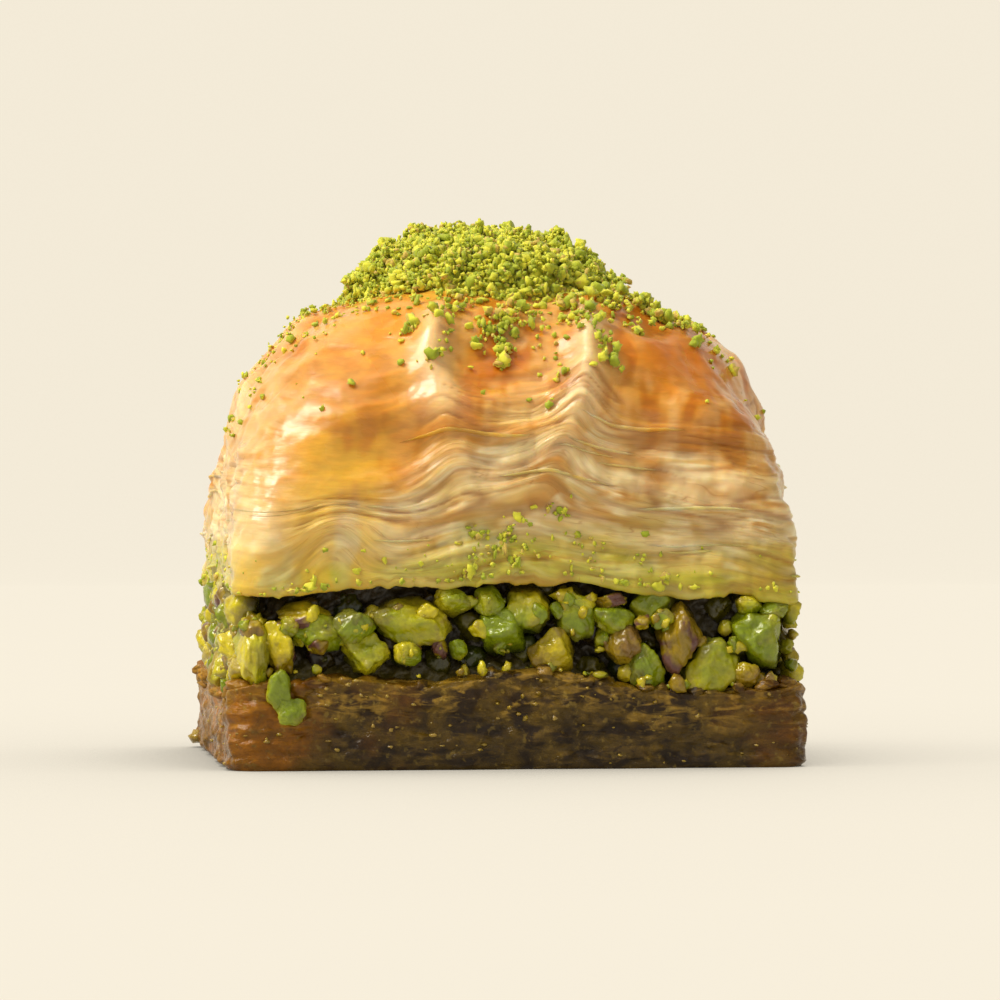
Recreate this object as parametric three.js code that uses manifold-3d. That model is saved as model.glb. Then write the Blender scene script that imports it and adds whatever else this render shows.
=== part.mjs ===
// A piece of pistachio baklava as it is cut from the tray: a dense, syrup-soaked base of thin pastry sheets,
// a bed of chopped pistachios, a puffed dome of flaky sheets with a glazed crust, and a mound of ground
// pistachio on top.
// Millimetres, +Z up. The front cut looks along -Y, and the origin is the middle of the whole piece's box,
// on the table.
import * as THREE from "three";
import { mergeVertices } from "three/addons/utils/BufferGeometryUtils.js";
import Module from "manifold-3d";

const wasm = await Module();
wasm.setup();

// Driving dimensions.
const PIECE_WIDTH = 46; // left to right, at the knife cut
const PIECE_DEPTH = 40; // front to back, at the knife cut
const BASE_HEIGHT = 7; // mean height of the base's top
const FILLING_TOP = 13.6; // height of the pastry's lower edge at the corners
const DOME_TOP = 39; // height of the crust's crown
const MOUND_TOP = 43.4; // height of the mound's core, without the crumbs that stand out of it
const GAP = 0.3; // clearance between neighbouring pieces

// Base.
const BASE_CORNER = 2.2; // corner radius
const BASE_SWELL = 1; // how far the base's top rises and falls
const BASE_LAYERS = 4;
const BASE_GROOVE = 0.28; // depth of the grooves between the base's layers
const BASE_POINTS = 52; // points round the base's outline

// Dome.
const DOME_INSET = 0.55; // how far the dome's lower edge stands back from the base's outline
const DOME_CORNER = 2.4; // corner radius at the lower edge
const DOME_ARCH = 1.3; // how far the lower edge rises in the middle of each side
const DOME_LAYERS = 8; // bunches of sheets whose edges show
const LAYERED_SHARE = 0.54; // share of the dome's height that shows sheet edges, below the crust
const DOME_GROOVE = 0.5; // depth of the grooves between bunches
const DOME_LIP = 0.42; // how far a bunch's edge stands out
const DOME_POINTS = 70; // points round the dome's outline
const CRUST_HEIGHTS = [0.58, 0.65, 0.72, 0.79, 0.86, 0.92, 0.97]; // rings of the crust, shares of the height
const SIDE_POWER = 3; // the dome's section is a superellipse: upright power
const WIDTH_POWER = 2.5; // and sideways power
const DOME_LEAN = 0.9; // how far the crown stands to the right of the middle

// Folds that run up each face and over the crust: the place round the outline, the fold's height, and its
// half width as a share of the outline.
const FOLDS = [
  { turn: -0.036, height: 1.1, width: 0.011 },
  { turn: 0.026, height: 1.25, width: 0.012 },
  { turn: 0.2, height: 0.8, width: 0.013 },
  { turn: 0.285, height: 1, width: 0.012 },
  { turn: 0.455, height: 0.9, width: 0.012 },
  { turn: 0.54, height: 1.1, width: 0.013 },
  { turn: 0.71, height: 0.9, width: 0.012 },
  { turn: 0.79, height: 0.8, width: 0.012 },
];
const FOLD_LIFT = 0.66; // rise of the sheets where they cross a fold at mid height, as a share of its height

// Filling.
const FILLING_INSET = 2.2; // how far the filling's core stands back from the cut
const FILLING_POINTS = 20; // points round the core's outline
const NUT_ROWS = [0.26, 0.72]; // heights of the rows of chopped nuts, as shares of the filling's height
const NUTS_A_ROW = 33;
const NUT_RADIUS = [1.7, 2.7]; // smallest and largest half size of a chopped nut
const HANGING_NUT = { x: -18, z: 5.8, radius: [1.8, 1.8, 2.9], proud: 0.6 }; // slipped down over the base
const HOLDING_NUT = { rise: 3, radius: [2.2, 2.6, 2.2] }; // the nut above it, which ties it to the filling

// Mound and crumbs.
const MOUND_CENTRE = [0.6, 0.2];
const MOUND_LEAN = -1.1; // how far the heap's top stands to the right of its foot's centre
const MOUND_HALF = [12.2, 10.8]; // half width and half depth
const HEAP_POWER = 2.2; // roundness of the heap's section
const MOUND_POINTS = 26;
const MOUND_CRUMBS = 58;
const CRUMB_RADIUS = [0.85, 1.45]; // half size of the mound's crumbs
const LOOSE_CRUMBS = 18; // crumbs scattered on the crust
const LOOSE_RADIUS = [0.5, 0.9];

// Colours.
const BASE_COLOUR = 0x6b4a1c;
const DOME_COLOUR = 0xdca548;
const FILLING_COLOUR = 0x7f9a24;
const MOUND_COLOUR = 0xa3b83a;

const TAU = Math.PI * 2;
const GOLDEN_TURN = 0.381966;
const { smoothstep } = THREE.MathUtils;
const mix = (low, high, share) => low + (high - low) * share;

// A repeatable stream of numbers from 0 to 1.
function seeded(seed) {
  let state = seed;
  return () => {
    state = (state + 0x6d2b79f5) | 0;
    let mixed = Math.imul(state ^ (state >>> 15), 1 | state);
    mixed = (mixed + Math.imul(mixed ^ (mixed >>> 7), 61 | mixed)) ^ mixed;
    return ((mixed ^ (mixed >>> 14)) >>> 0) / 4294967296;
  };
}

// A smooth uneven line round the outline, from -1 to 1: two sine waves with seeded phases.
function unevenLine(random, slow, quick) {
  const [first, second] = [random() * TAU, random() * TAU];
  return (turn) => 0.62 * Math.sin(TAU * slow * turn + first) + 0.38 * Math.sin(TAU * quick * turn + second);
}

// The point a share `turn` of the way round a rectangle with round corners, and the outward direction there.
// It starts in the middle of the front and goes round by the right, and each quarter of the way ends in the
// middle of a side.
function outlinePoint(turn, halfWidth, halfDepth, corner) {
  const whole = ((turn % 1) + 1) % 1;
  const quarter = Math.floor(whole * 4);
  const share = quarter % 2 ? 1 - (whole * 4 - quarter) : whole * 4 - quarter;
  const [flatWidth, flatDepth, arc] = [halfWidth - corner, halfDepth - corner, (corner * Math.PI) / 2];
  const along = share * (flatWidth + arc + flatDepth);
  let point;
  if (along < flatWidth) {
    point = [along, -halfDepth, 0, -1];
  } else if (along < flatWidth + arc) {
    const angle = (along - flatWidth) / corner;
    const [sine, cosine] = [Math.sin(angle), Math.cos(angle)];
    point = [flatWidth + corner * sine, -flatDepth - corner * cosine, sine, -cosine];
  } else {
    point = [halfWidth, -flatDepth + (along - flatWidth - arc), 1, 0];
  }
  const [right, front] = [quarter < 2 ? 1 : -1, quarter === 0 || quarter === 3 ? 1 : -1];
  return { x: point[0] * right, y: point[1] * front, outX: point[2] * right, outY: point[3] * front };
}

// Height of the base's top at its edge.
function baseEdge(turn) {
  const swell = 0.6 * Math.sin(TAU * 3 * turn + 2.4) + 0.4 * Math.sin(TAU * 8 * turn + 1);
  return BASE_HEIGHT + BASE_SWELL * swell;
}

// Height of the dome's lower edge.
function domeEdge(turn) {
  const arch = Math.cos(TAU * 2 * turn) ** 2;
  return FILLING_TOP + DOME_ARCH * arch + 0.22 * Math.sin(TAU * 11 * turn + 0.7);
}

// How far the folds lift the surface at a place round the outline.
function foldHeight(turn) {
  return FOLDS.reduce((sum, fold) => {
    const away = turn - fold.turn - Math.round(turn - fold.turn);
    return sum + fold.height * Math.exp(-((away / fold.width) ** 2));
  }, 0);
}

// A point of the dome at a place round it and a share of its height: a superellipse swept round the outline,
// with the folds growing out of it towards the crust. `stand` moves the point out along the surface's slope.
function domePoint(turn, share, stand = 0) {
  const reach = Math.max(1 - share ** SIDE_POWER, 0) ** (1 / WIDTH_POWER);
  const halfWidth = (PIECE_WIDTH / 2 - DOME_INSET) * reach;
  const halfDepth = (PIECE_DEPTH / 2 - DOME_INSET) * reach;
  const corner = mix(DOME_CORNER, Math.min(halfWidth, halfDepth), share ** 1.6) * Math.min(1, reach + 0.2);
  const at = outlinePoint(turn, halfWidth, halfDepth, Math.min(corner, halfDepth * 0.98));
  const upright = SIDE_POWER * share ** (SIDE_POWER - 1);
  const sideways = WIDTH_POWER * reach ** (WIDTH_POWER - 1);
  const slope = Math.hypot(upright, sideways);
  const grown = smoothstep(share, 0.12, 0.6) * (1 - smoothstep(share, 0.86, 1));
  const fold = foldHeight(turn) * grown;
  const out = ((stand + fold) * sideways) / slope;
  const up = ((stand + fold) * upright) / slope;
  const lift = foldHeight(turn) * FOLD_LIFT * 4 * share * (1 - share);
  const x = at.x + at.outX * out + DOME_LEAN * share ** 2;
  const y = at.y + at.outY * out;
  const z = mix(domeEdge(turn), DOME_TOP, share) + lift + up;
  return new THREE.Vector3(x, y, z);
}

// A closed geometry through rings of points, each ring above the one before it, with a fan of triangles at
// each end.
function ringGeometry(rings, lowest, highest) {
  const count = rings[0].length;
  const positions = [...rings.flat(), lowest, highest].flatMap((point) => [point.x, point.y, point.z]);
  const [low, high] = [rings.length * count, rings.length * count + 1];
  const top = (rings.length - 1) * count;
  const index = [];
  for (let i = 0; i < count; i++) {
    const next = (i + 1) % count;
    index.push(low, next, i, high, top + i, top + next);
    for (let r = 0; r < rings.length - 1; r++) {
      const [here, above] = [r * count, (r + 1) * count];
      index.push(here + i, here + next, above + next, here + i, above + next, above + i);
    }
  }
  const geometry = new THREE.BufferGeometry();
  geometry.setAttribute("position", new THREE.Float32BufferAttribute(positions, 3));
  geometry.setIndex(index);
  return geometry;
}

// A ring of points made by a function of the place round the outline.
const ringOf = (count, point) => Array.from({ length: count }, (_, i) => point(i / count));

// A copy of a geometry with its shared corners joined.
function welded(geometry) {
  const bare = geometry.clone();
  bare.deleteAttribute("normal");
  bare.deleteAttribute("uv");
  return mergeVertices(bare);
}

// A geometry's solid, for joining and cutting.
function solidOf(geometry) {
  const merged = welded(geometry);
  const mesh = new wasm.Mesh({
    numProp: 3,
    vertProperties: new Float32Array(merged.attributes.position.array),
    triVerts: new Uint32Array(merged.index.array),
  });
  return new wasm.Manifold(mesh);
}

// The largest body of a solid as a geometry, so that a scrap that a cut leaves loose is dropped.
function geometryOf(solid) {
  const bodies = solid.decompose().sort((a, b) => b.volume() - a.volume());
  const mesh = bodies[0].getMesh();
  const geometry = new THREE.BufferGeometry();
  geometry.setAttribute("position", new THREE.BufferAttribute(mesh.vertProperties, 3));
  geometry.setIndex(new THREE.BufferAttribute(mesh.triVerts, 1));
  return geometry;
}

// An uneven piece of nut: a few-sided round body, stretched, turned and chipped by the stream of random
// numbers.
function nutPiece(body, centre, radius, random) {
  const geometry = welded(body);
  const places = geometry.attributes.position;
  for (let i = 0; i < places.count; i++) {
    const chip = 0.82 + 0.3 * random();
    places.setXYZ(i, places.getX(i) * chip, places.getY(i) * chip, places.getZ(i) * chip);
  }
  geometry.scale(...radius);
  geometry.rotateX(random() * TAU * 0.1);
  geometry.rotateZ(random() * TAU);
  geometry.translate(...centre);
  return solidOf(geometry);
}

// The base: a flat foot, and upright cut sides with grooves between the soaked layers.
function baseGeometry(random) {
  const rings = [];
  const place = (turn, share, stand) => {
    const at = outlinePoint(turn, PIECE_WIDTH / 2 + stand, PIECE_DEPTH / 2 + stand, BASE_CORNER);
    return new THREE.Vector3(at.x, at.y, baseEdge(turn) * share);
  };
  rings.push(ringOf(BASE_POINTS, (turn) => place(turn, 0, -0.35)));
  for (let layer = 0; layer < BASE_LAYERS; layer++) {
    const uneven = unevenLine(random, 3 + layer, 9 + 2 * layer);
    const lip = (turn) => -0.12 * (1 + uneven(turn));
    rings.push(ringOf(BASE_POINTS, (turn) => place(turn, (layer + 0.25) / BASE_LAYERS, lip(turn))));
    rings.push(ringOf(BASE_POINTS, (turn) => place(turn, (layer + 0.78) / BASE_LAYERS, lip(turn))));
    rings.push(ringOf(BASE_POINTS, (turn) => place(turn, (layer + 1) / BASE_LAYERS, -BASE_GROOVE - 0.1)));
  }
  return ringGeometry(rings, new THREE.Vector3(0, 0, 0), new THREE.Vector3(0, 0, BASE_HEIGHT));
}

// The base's space without its grooves, grown by the gap, for keeping the filling clear of it.
function baseKeepout() {
  const ring = (height) =>
    ringOf(BASE_POINTS, (turn) => {
      const at = outlinePoint(turn, PIECE_WIDTH / 2 + GAP, PIECE_DEPTH / 2 + GAP, BASE_CORNER + GAP);
      return new THREE.Vector3(at.x, at.y, height(turn));
    });
  const rings = [ring(() => -1), ring((turn) => baseEdge(turn) + GAP)];
  const high = new THREE.Vector3(0, 0, BASE_HEIGHT + GAP);
  return solidOf(ringGeometry(rings, new THREE.Vector3(0, 0, -1), high));
}

// The dome: bunches of sheets with uneven edges up to the crust, then the smooth crust with its folds.
function domeGeometry(random) {
  const rings = [];
  const add = (share, stand) => {
    rings.push(ringOf(DOME_POINTS, (turn) => domePoint(turn, share, stand(turn))));
  };
  const pitch = LAYERED_SHARE / DOME_LAYERS;
  for (let layer = 0; layer < DOME_LAYERS; layer++) {
    const uneven = unevenLine(random, 4 + (layer % 4), 13 + ((layer * 3) % 7));
    const fade = 1 - 0.35 * (layer / DOME_LAYERS);
    add(pitch * layer, () => -DOME_GROOVE * fade);
    add(pitch * (layer + 0.3), (turn) => DOME_LIP * fade * uneven(turn));
    add(pitch * (layer + 0.8), (turn) => DOME_LIP * fade * (uneven(turn) - 0.15));
  }
  CRUST_HEIGHTS.forEach((share) => add(share, () => 0));
  const crown = new THREE.Vector3(DOME_LEAN, 0, DOME_TOP);
  return ringGeometry(rings, new THREE.Vector3(0, 0, FILLING_TOP + DOME_ARCH / 2), crown);
}

// The dome's space without its sheet edges, grown by a margin, for keeping its neighbours clear of it.
function domeKeepout(margin) {
  const shares = [0, 0.3, LAYERED_SHARE, ...CRUST_HEIGHTS];
  const rings = shares.map((share) =>
    ringOf(DOME_POINTS, (turn) => {
      const point = domePoint(turn, share, margin);
      point.z -= share ? 0 : GAP;
      return point;
    }),
  );
  const low = new THREE.Vector3(0, 0, FILLING_TOP + DOME_ARCH / 2 - GAP);
  return solidOf(ringGeometry(rings, low, new THREE.Vector3(DOME_LEAN, 0, DOME_TOP + margin)));
}

// Crumbs of ground pistachio scattered over the crust, outside the mound's foot.
function looseCrumbs(random) {
  const body = new THREE.IcosahedronGeometry(1, 0);
  const crumbs = [];
  while (crumbs.length < LOOSE_CRUMBS) {
    const place = domePoint(random(), mix(0.62, 0.93, random()), 0.1);
    const acrossX = (place.x - MOUND_CENTRE[0]) / MOUND_HALF[0];
    const acrossY = (place.y - MOUND_CENTRE[1]) / MOUND_HALF[1];
    const radius = mix(...LOOSE_RADIUS, random());
    if (Math.hypot(acrossX, acrossY) > 1.25) {
      crumbs.push(nutPiece(body, place.toArray(), [radius * 1.2, radius, radius], random));
    }
  }
  return crumbs;
}

// The filling: a slab through the piece, with chopped nuts standing out of it round all four cuts.
function fillingSolid(random) {
  const [halfWidth, halfDepth] = [PIECE_WIDTH / 2 - FILLING_INSET, PIECE_DEPTH / 2 - FILLING_INSET];
  const core = (turn, height) => {
    const at = outlinePoint(turn, halfWidth, halfDepth, BASE_CORNER);
    return new THREE.Vector3(at.x, at.y, height);
  };
  const rings = [
    ringOf(FILLING_POINTS, (turn) => core(turn, baseEdge(turn) - 1)),
    ringOf(FILLING_POINTS, (turn) => core(turn, domeEdge(turn) + 1)),
  ];
  const [low, high] = [BASE_HEIGHT - 1, FILLING_TOP + DOME_ARCH / 2 + 1];
  let heap = solidOf(ringGeometry(rings, new THREE.Vector3(0, 0, low), new THREE.Vector3(0, 0, high)));
  const bodies = [new THREE.DodecahedronGeometry(1, 0), new THREE.IcosahedronGeometry(1, 0)];
  NUT_ROWS.forEach((row, rowNumber) => {
    for (let i = 0; i < NUTS_A_ROW; i++) {
      const turn = (i + rowNumber / 2 + 0.35 * (random() - 0.5)) / NUTS_A_ROW;
      const radius = mix(...NUT_RADIUS, random() ** 1.5);
      const inset = radius * mix(0.75, 1.1, random());
      const at = outlinePoint(turn, PIECE_WIDTH / 2 - inset, PIECE_DEPTH / 2 - inset, BASE_CORNER);
      const height = mix(baseEdge(turn), domeEdge(turn), row + 0.16 * (random() - 0.5));
      const size = [radius * mix(0.85, 1.25, random()), radius, radius * mix(0.7, 0.95, random())];
      heap = heap.add(nutPiece(bodies[i % 2], [at.x, at.y, height], size, random));
    }
  });
  const { x, z, radius, proud } = HANGING_NUT;
  const hanging = nutPiece(bodies[0], [x, -PIECE_DEPTH / 2 - proud, z], radius, random);
  const holdingPlace = [x, -PIECE_DEPTH / 2 + 0.4, z + HOLDING_NUT.rise];
  const holding = nutPiece(bodies[0], holdingPlace, HOLDING_NUT.radius, random);
  heap = heap.add(hanging).add(holding);
  return heap.subtract(baseKeepout()).subtract(domeKeepout(DOME_LIP + GAP));
}

// The mound: a low heap of ground pistachio on the crown, with crumbs standing out of it all over.
function moundSolid(random) {
  const uneven = unevenLine(random, 3, 7);
  const dome = (share, turn) => {
    const angle = TAU * turn;
    const reach = Math.sqrt(1 - share ** HEAP_POWER) * (1 + 0.09 * uneven(turn));
    const x = Math.cos(angle) * reach * MOUND_HALF[0] + MOUND_LEAN * share;
    const y = Math.sin(angle) * reach * MOUND_HALF[1];
    return new THREE.Vector3(MOUND_CENTRE[0] + x, MOUND_CENTRE[1] + y, mix(DOME_TOP - 4, MOUND_TOP, share));
  };
  const rings = [0, 0.35, 0.6, 0.8, 0.93].map((share) => ringOf(MOUND_POINTS, (turn) => dome(share, turn)));
  const low = new THREE.Vector3(...MOUND_CENTRE, DOME_TOP - 4);
  const high = new THREE.Vector3(MOUND_CENTRE[0] + MOUND_LEAN, MOUND_CENTRE[1], MOUND_TOP);
  let heap = solidOf(ringGeometry(rings, low, high));
  const body = new THREE.IcosahedronGeometry(1, 0);
  for (let i = 0; i < MOUND_CRUMBS; i++) {
    const spread = (i + 0.5) / MOUND_CRUMBS; // a golden-angle spiral, even over the heap's plan
    const place = dome((1 - spread) ** (1 / HEAP_POWER), (i * GOLDEN_TURN + 0.01 * random()) % 1);
    const radius = mix(...CRUMB_RADIUS, random());
    heap = heap.add(nutPiece(body, place.toArray(), [radius * 1.15, radius, radius * 0.9], random));
  }
  return heap.subtract(domeKeepout(GAP));
}

// A named mesh of one piece of the baklava.
function piece(name, geometry, color, roughness) {
  const mesh = new THREE.Mesh(geometry, new THREE.MeshStandardMaterial({ color, roughness, metalness: 0 }));
  mesh.name = name;
  return mesh;
}

const baklava = new THREE.Group();
baklava.add(piece("phyllo_base", baseGeometry(seeded(11)), BASE_COLOUR, 0.35));
baklava.add(piece("pistachio_filling", geometryOf(fillingSolid(seeded(23))), FILLING_COLOUR, 0.45));
const bareDome = solidOf(domeGeometry(seeded(31)));
const dome = looseCrumbs(seeded(37)).reduce((sum, crumb) => sum.add(crumb), bareDome);
baklava.add(piece("phyllo_dome", geometryOf(dome), DOME_COLOUR, 0.25));
baklava.add(piece("ground_pistachio_mound", geometryOf(moundSolid(seeded(47))), MOUND_COLOUR, 0.7));

// The origin goes to the middle of the whole piece's box, on the table.
const box = new THREE.Box3().setFromObject(baklava);
const middle = box.getCenter(new THREE.Vector3());
baklava.position.set(-middle.x, -middle.y, -box.min.z);

export default baklava;
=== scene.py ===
"""The looks of a cut piece of pistachio baklava: soaked base, chopped nuts, flaky dome and ground nuts.

Sizes inside the functions are millimetres in the piece's own frame, whose origin is the middle of the
base's footprint. The front cut looks along -Y, and a place round the outline is a turn from 0 to 1: it
starts in the middle of the front and goes round by the right, so that what lies left of the middle has a
turn below 0 or just below 1. A share, unless its function says otherwise, is a place up the base's cut or
the dome's section, from 0 at its foot to 1.
"""

import math

import bpy
import numpy as np
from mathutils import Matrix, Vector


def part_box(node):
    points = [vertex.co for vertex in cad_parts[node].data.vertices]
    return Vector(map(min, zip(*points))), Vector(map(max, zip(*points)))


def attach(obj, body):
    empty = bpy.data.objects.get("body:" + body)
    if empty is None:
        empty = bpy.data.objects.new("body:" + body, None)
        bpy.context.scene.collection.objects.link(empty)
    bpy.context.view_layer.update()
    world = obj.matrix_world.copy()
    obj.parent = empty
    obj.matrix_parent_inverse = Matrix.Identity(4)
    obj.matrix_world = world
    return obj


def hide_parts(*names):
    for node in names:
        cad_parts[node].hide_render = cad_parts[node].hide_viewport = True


bl_info = {
    "name": "Pistachio Baklava Piece",
    "version": (1, 0, 0),
    "blender": (4, 5, 0),
    "location": "3D View > Sidebar > Baklava",
    "description": "Builds the looks of a cut piece of pistachio baklava",
    "category": "Add Mesh",
}

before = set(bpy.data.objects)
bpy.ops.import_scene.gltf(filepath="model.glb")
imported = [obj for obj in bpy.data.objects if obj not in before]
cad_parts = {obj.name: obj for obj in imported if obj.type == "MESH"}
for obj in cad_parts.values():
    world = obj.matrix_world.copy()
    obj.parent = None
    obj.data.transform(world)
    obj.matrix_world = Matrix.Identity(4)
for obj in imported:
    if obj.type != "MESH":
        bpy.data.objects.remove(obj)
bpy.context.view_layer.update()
BASE_LOW, BASE_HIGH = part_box("phyllo_base")

MM = 0.001
TAU = 2 * np.pi
MIDDLE = np.array([(BASE_LOW.x + BASE_HIGH.x) / 2, (BASE_LOW.y + BASE_HIGH.y) / 2, 0.0])

# The dome's folds: place round the outline at mid height, how far the fold leans round it towards the
# crown, its height in mm, and its half width as a share of the outline.
FOLDS = (
    (-0.04, -0.034, 1.05, 0.014),
    (0.024, 0.036, 1.25, 0.012),
    (0.2, 0.0, 0.8, 0.012),
    (0.285, 0.0, 1.0, 0.011),
    (0.455, 0.01, 0.95, 0.011),
    (0.54, -0.01, 1.15, 0.011),
    (0.71, 0.0, 0.9, 0.011),
    (0.79, 0.0, 0.8, 0.011),
)

# Powers of the curve from the dome's side to its crown, and of the ground heap's side.
SIDE_POWER = 3
WIDTH_POWER = 2.5
HEAP_POWER = 2.2

# Places round the outline: the middle of the left cut, then what the front shows, from left to right.
LEFT_CUT = 0.75
LEFT_FLANK = -0.21
PAINTED_HIGHLIGHT_SPOT = -0.146
LEFT_CORNER = -0.13
SMOOTH_LOBE = -0.098
DOME_ARCH = -0.093
SHEET_ARCH = -0.088
BETWEEN_FOLDS = -0.008
RIGHT_PLEATS = 0.03
RIGHT_SHOULDER = 0.12

# Soft swellings and hollows of the dome: turn and its half width, share and its half height, and how far
# the surface moves out in mm.
SWELLS = (
    (0.655, 0.07, 0.57, 0.13, -0.85),
    (0.655, 0.07, 0.25, 0.07, 0.4),
    (0.74, 0.05, 0.5, 0.11, -0.4),
    (0.145, 0.05, 0.77, 0.1, 0.75),
    (0.145, 0.05, 0.28, 0.09, -0.65),
    (-0.155, 0.035, 0.8, 0.09, 0.9),
    (-0.085, 0.03, 0.58, 0.06, -0.3),
)

# Milky patches on the cut sheets at the front, partly painted sheen: turn, share, half width as a turn
# and half height as a share.
MILKY_PATCHES = (
    (0.055, 0.155, 0.012, 0.03),
    (0.1, 0.18, 0.012, 0.035),
    (0.062, 0.44, 0.02, 0.03),
    (0.085, 0.35, 0.014, 0.03),
    (-0.02, 0.33, 0.013, 0.08),
    (-0.045, 0.42, 0.016, 0.04),
    (0.022, 0.52, 0.01, 0.05),
    (-0.085, 0.13, 0.022, 0.05),
    (-0.055, 0.24, 0.016, 0.04),
)

# The long sheet ends that peel out at the front: turn, share, length as a turn, and how far they stand
# out in mm.
LONG_FLAPS = (
    (-0.03, 0.45, 0.07, 0.28),
    (0.06, 0.5, 0.06, 0.25),
    (0.017, 0.31, 0.06, 0.28),
    (0.085, 0.25, 0.06, 0.25),
)

# The nuts that show at the front cut: x, z, width and height in mm, and their kind. The two low green
# ones make up the one that has slipped down.
FRONT_NUTS = (
    (-21.0, 9.3, 2.4, 5.9, "yellow"),
    (-19.0, 9.7, 2.4, 4.0, "skinned"),
    (-18.9, 6.2, 2.0, 3.0, "green"),
    (-18.2, 4.7, 2.3, 1.9, "green"),
    (-17.0, 12.0, 3.9, 1.9, "skinned"),
    (-18.2, 11.2, 1.5, 1.5, "yellow"),
    (-15.8, 10.6, 3.4, 2.8, "green"),
    (-13.0, 11.1, 3.4, 2.6, "green"),
    (-12.1, 8.9, 3.4, 3.1, "yellow"),
    (-8.5, 11.4, 4.6, 3.5, "green"),
    (-8.9, 9.0, 2.2, 1.5, "green"),
    (-5.5, 13.0, 2.8, 2.0, "yellow"),
    (-2.4, 13.1, 2.2, 2.2, "green"),
    (-1.4, 10.6, 4.2, 3.2, "green"),
    (0.3, 12.6, 3.8, 3.7, "yellow"),
    (4.3, 12.2, 3.5, 3.9, "yellow"),
    (7.3, 11.6, 3.4, 2.5, "yellow"),
    (7.1, 13.1, 2.4, 1.4, "skinned"),
    (10.3, 12.5, 2.8, 2.6, "green"),
    (12.7, 10.4, 3.4, 5.4, "skinned"),
    (2.5, 9.0, 3.7, 3.4, "olive"),
    (10.0, 7.6, 2.3, 3.7, "green"),
    (15.1, 7.7, 4.2, 4.3, "yellow"),
    (18.0, 7.1, 2.0, 2.0, "olive"),
    (19.1, 10.0, 4.8, 4.3, "yellow"),
    (18.2, 12.8, 2.1, 1.5, "green"),
    (20.3, 12.3, 2.0, 1.3, "yellow"),
    (8.1, 9.6, 2.2, 3.1, "olive"),
)

# Clumps of crumbs on the crust and the cut sheets: turn, share, crumbs in the clump, and how far they
# spread in mm.
CRUST_CLUMPS = (
    (-0.083, 0.82, 16, 0.6),
    (-0.055, 0.746, 8, 0.6),
    (-0.057, 0.681, 7, 0.6),
    (-0.037, 0.8, 10, 1.2),
    (-0.015, 0.81, 40, 1.0),
    (-0.013, 0.76, 16, 0.5),
    (-0.011, 0.71, 12, 0.4),
    (0.016, 0.778, 8, 1.0),
    (0.044, 0.83, 18, 0.8),
    (0.022, 0.65, 5, 0.5),
    (0.055, 0.72, 38, 0.7),
    (0.088, 0.827, 8, 0.8),
    (0.141, 0.9, 110, 1.3),
    (0.096, 0.91, 60, 1.4),
    (0.18, 0.866, 18, 0.7),
    (0.191, 0.84, 14, 0.5),
    (0.282, 0.825, 12, 0.8),
    (0.168, 0.741, 4, 0.8),
    (-0.289, 0.864, 26, 1.2),
    (-0.287, 0.909, 30, 1.4),
    (-0.209, 0.89, 34, 1.4),
    (-0.165, 0.813, 14, 1.2),
    (-0.149, 0.861, 14, 0.9),
    (-0.279, 0.798, 24, 1.2),
    (-0.208, 0.798, 10, 1.2),
    (-0.249, 0.652, 12, 1.4),
    (-0.277, 0.716, 18, 1.4),
    (-0.2, 0.487, 7, 0.6),
    (-0.181, 0.598, 12, 1.0),
    (0.016, 0.2, 12, 0.6),
    (-0.001, 0.11, 36, 1.1),
    (-0.02, 0.1, 24, 0.8),
    (0.032, 0.09, 14, 0.9),
    (0.057, 0.088, 6, 0.8),
    (-0.106, 0.02, 10, 0.8),
    (-0.06, 0.89, 40, 1.6),
    (0.0, 0.88, 46, 1.6),
    (0.05, 0.89, 40, 1.4),
    (-0.03, 0.015, 16, 2.5),
    (0.06, 0.015, 12, 2.5),
)

# The kinds of chopped nut, and how many of the nuts outside the front are of each kind.
NUT_KINDS = ("green", "yellow", "olive", "skinned")
NUT_SHARES = (0.32, 0.36, 0.16, 0.16)

# The height in mm that only the two slipped nuts lie under, how far the front reaches round the outline
# to each side of its middle, and the corner radius in mm of what lies behind the cuts.
SLIPPED_BELOW = 6.5
FRONT_STRETCH = 0.135
INNER_CORNER = 2.0


def linear(red, green, blue):
    """A display colour, from 0 to 255, as the linear colour with full alpha that a shader takes."""
    parts = np.array([red, green, blue]) / 255
    parts = np.where(parts < 0.04045, parts / 12.92, ((parts + 0.055) / 1.055) ** 2.4)
    return (*parts.tolist(), 1.0)


def length(name, description, value):
    """A size property in millimetres that Blender shows as a length."""
    return bpy.props.FloatProperty(
        name=name, description=description, default=value * MM, unit="LENGTH", precision=4
    )


def colour(name, description, value):
    """A colour property from a display colour."""
    return bpy.props.FloatVectorProperty(
        name=name, description=description, default=linear(*value), size=4, min=0, max=1, subtype="COLOR"
    )


def number(name, description, value, **limits):
    """A plain number property."""
    return bpy.props.FloatProperty(name=name, description=description, default=value, **limits)


def count(name, description, value):
    """A whole number property."""
    return bpy.props.IntProperty(name=name, description=description, default=value, min=1)


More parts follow.
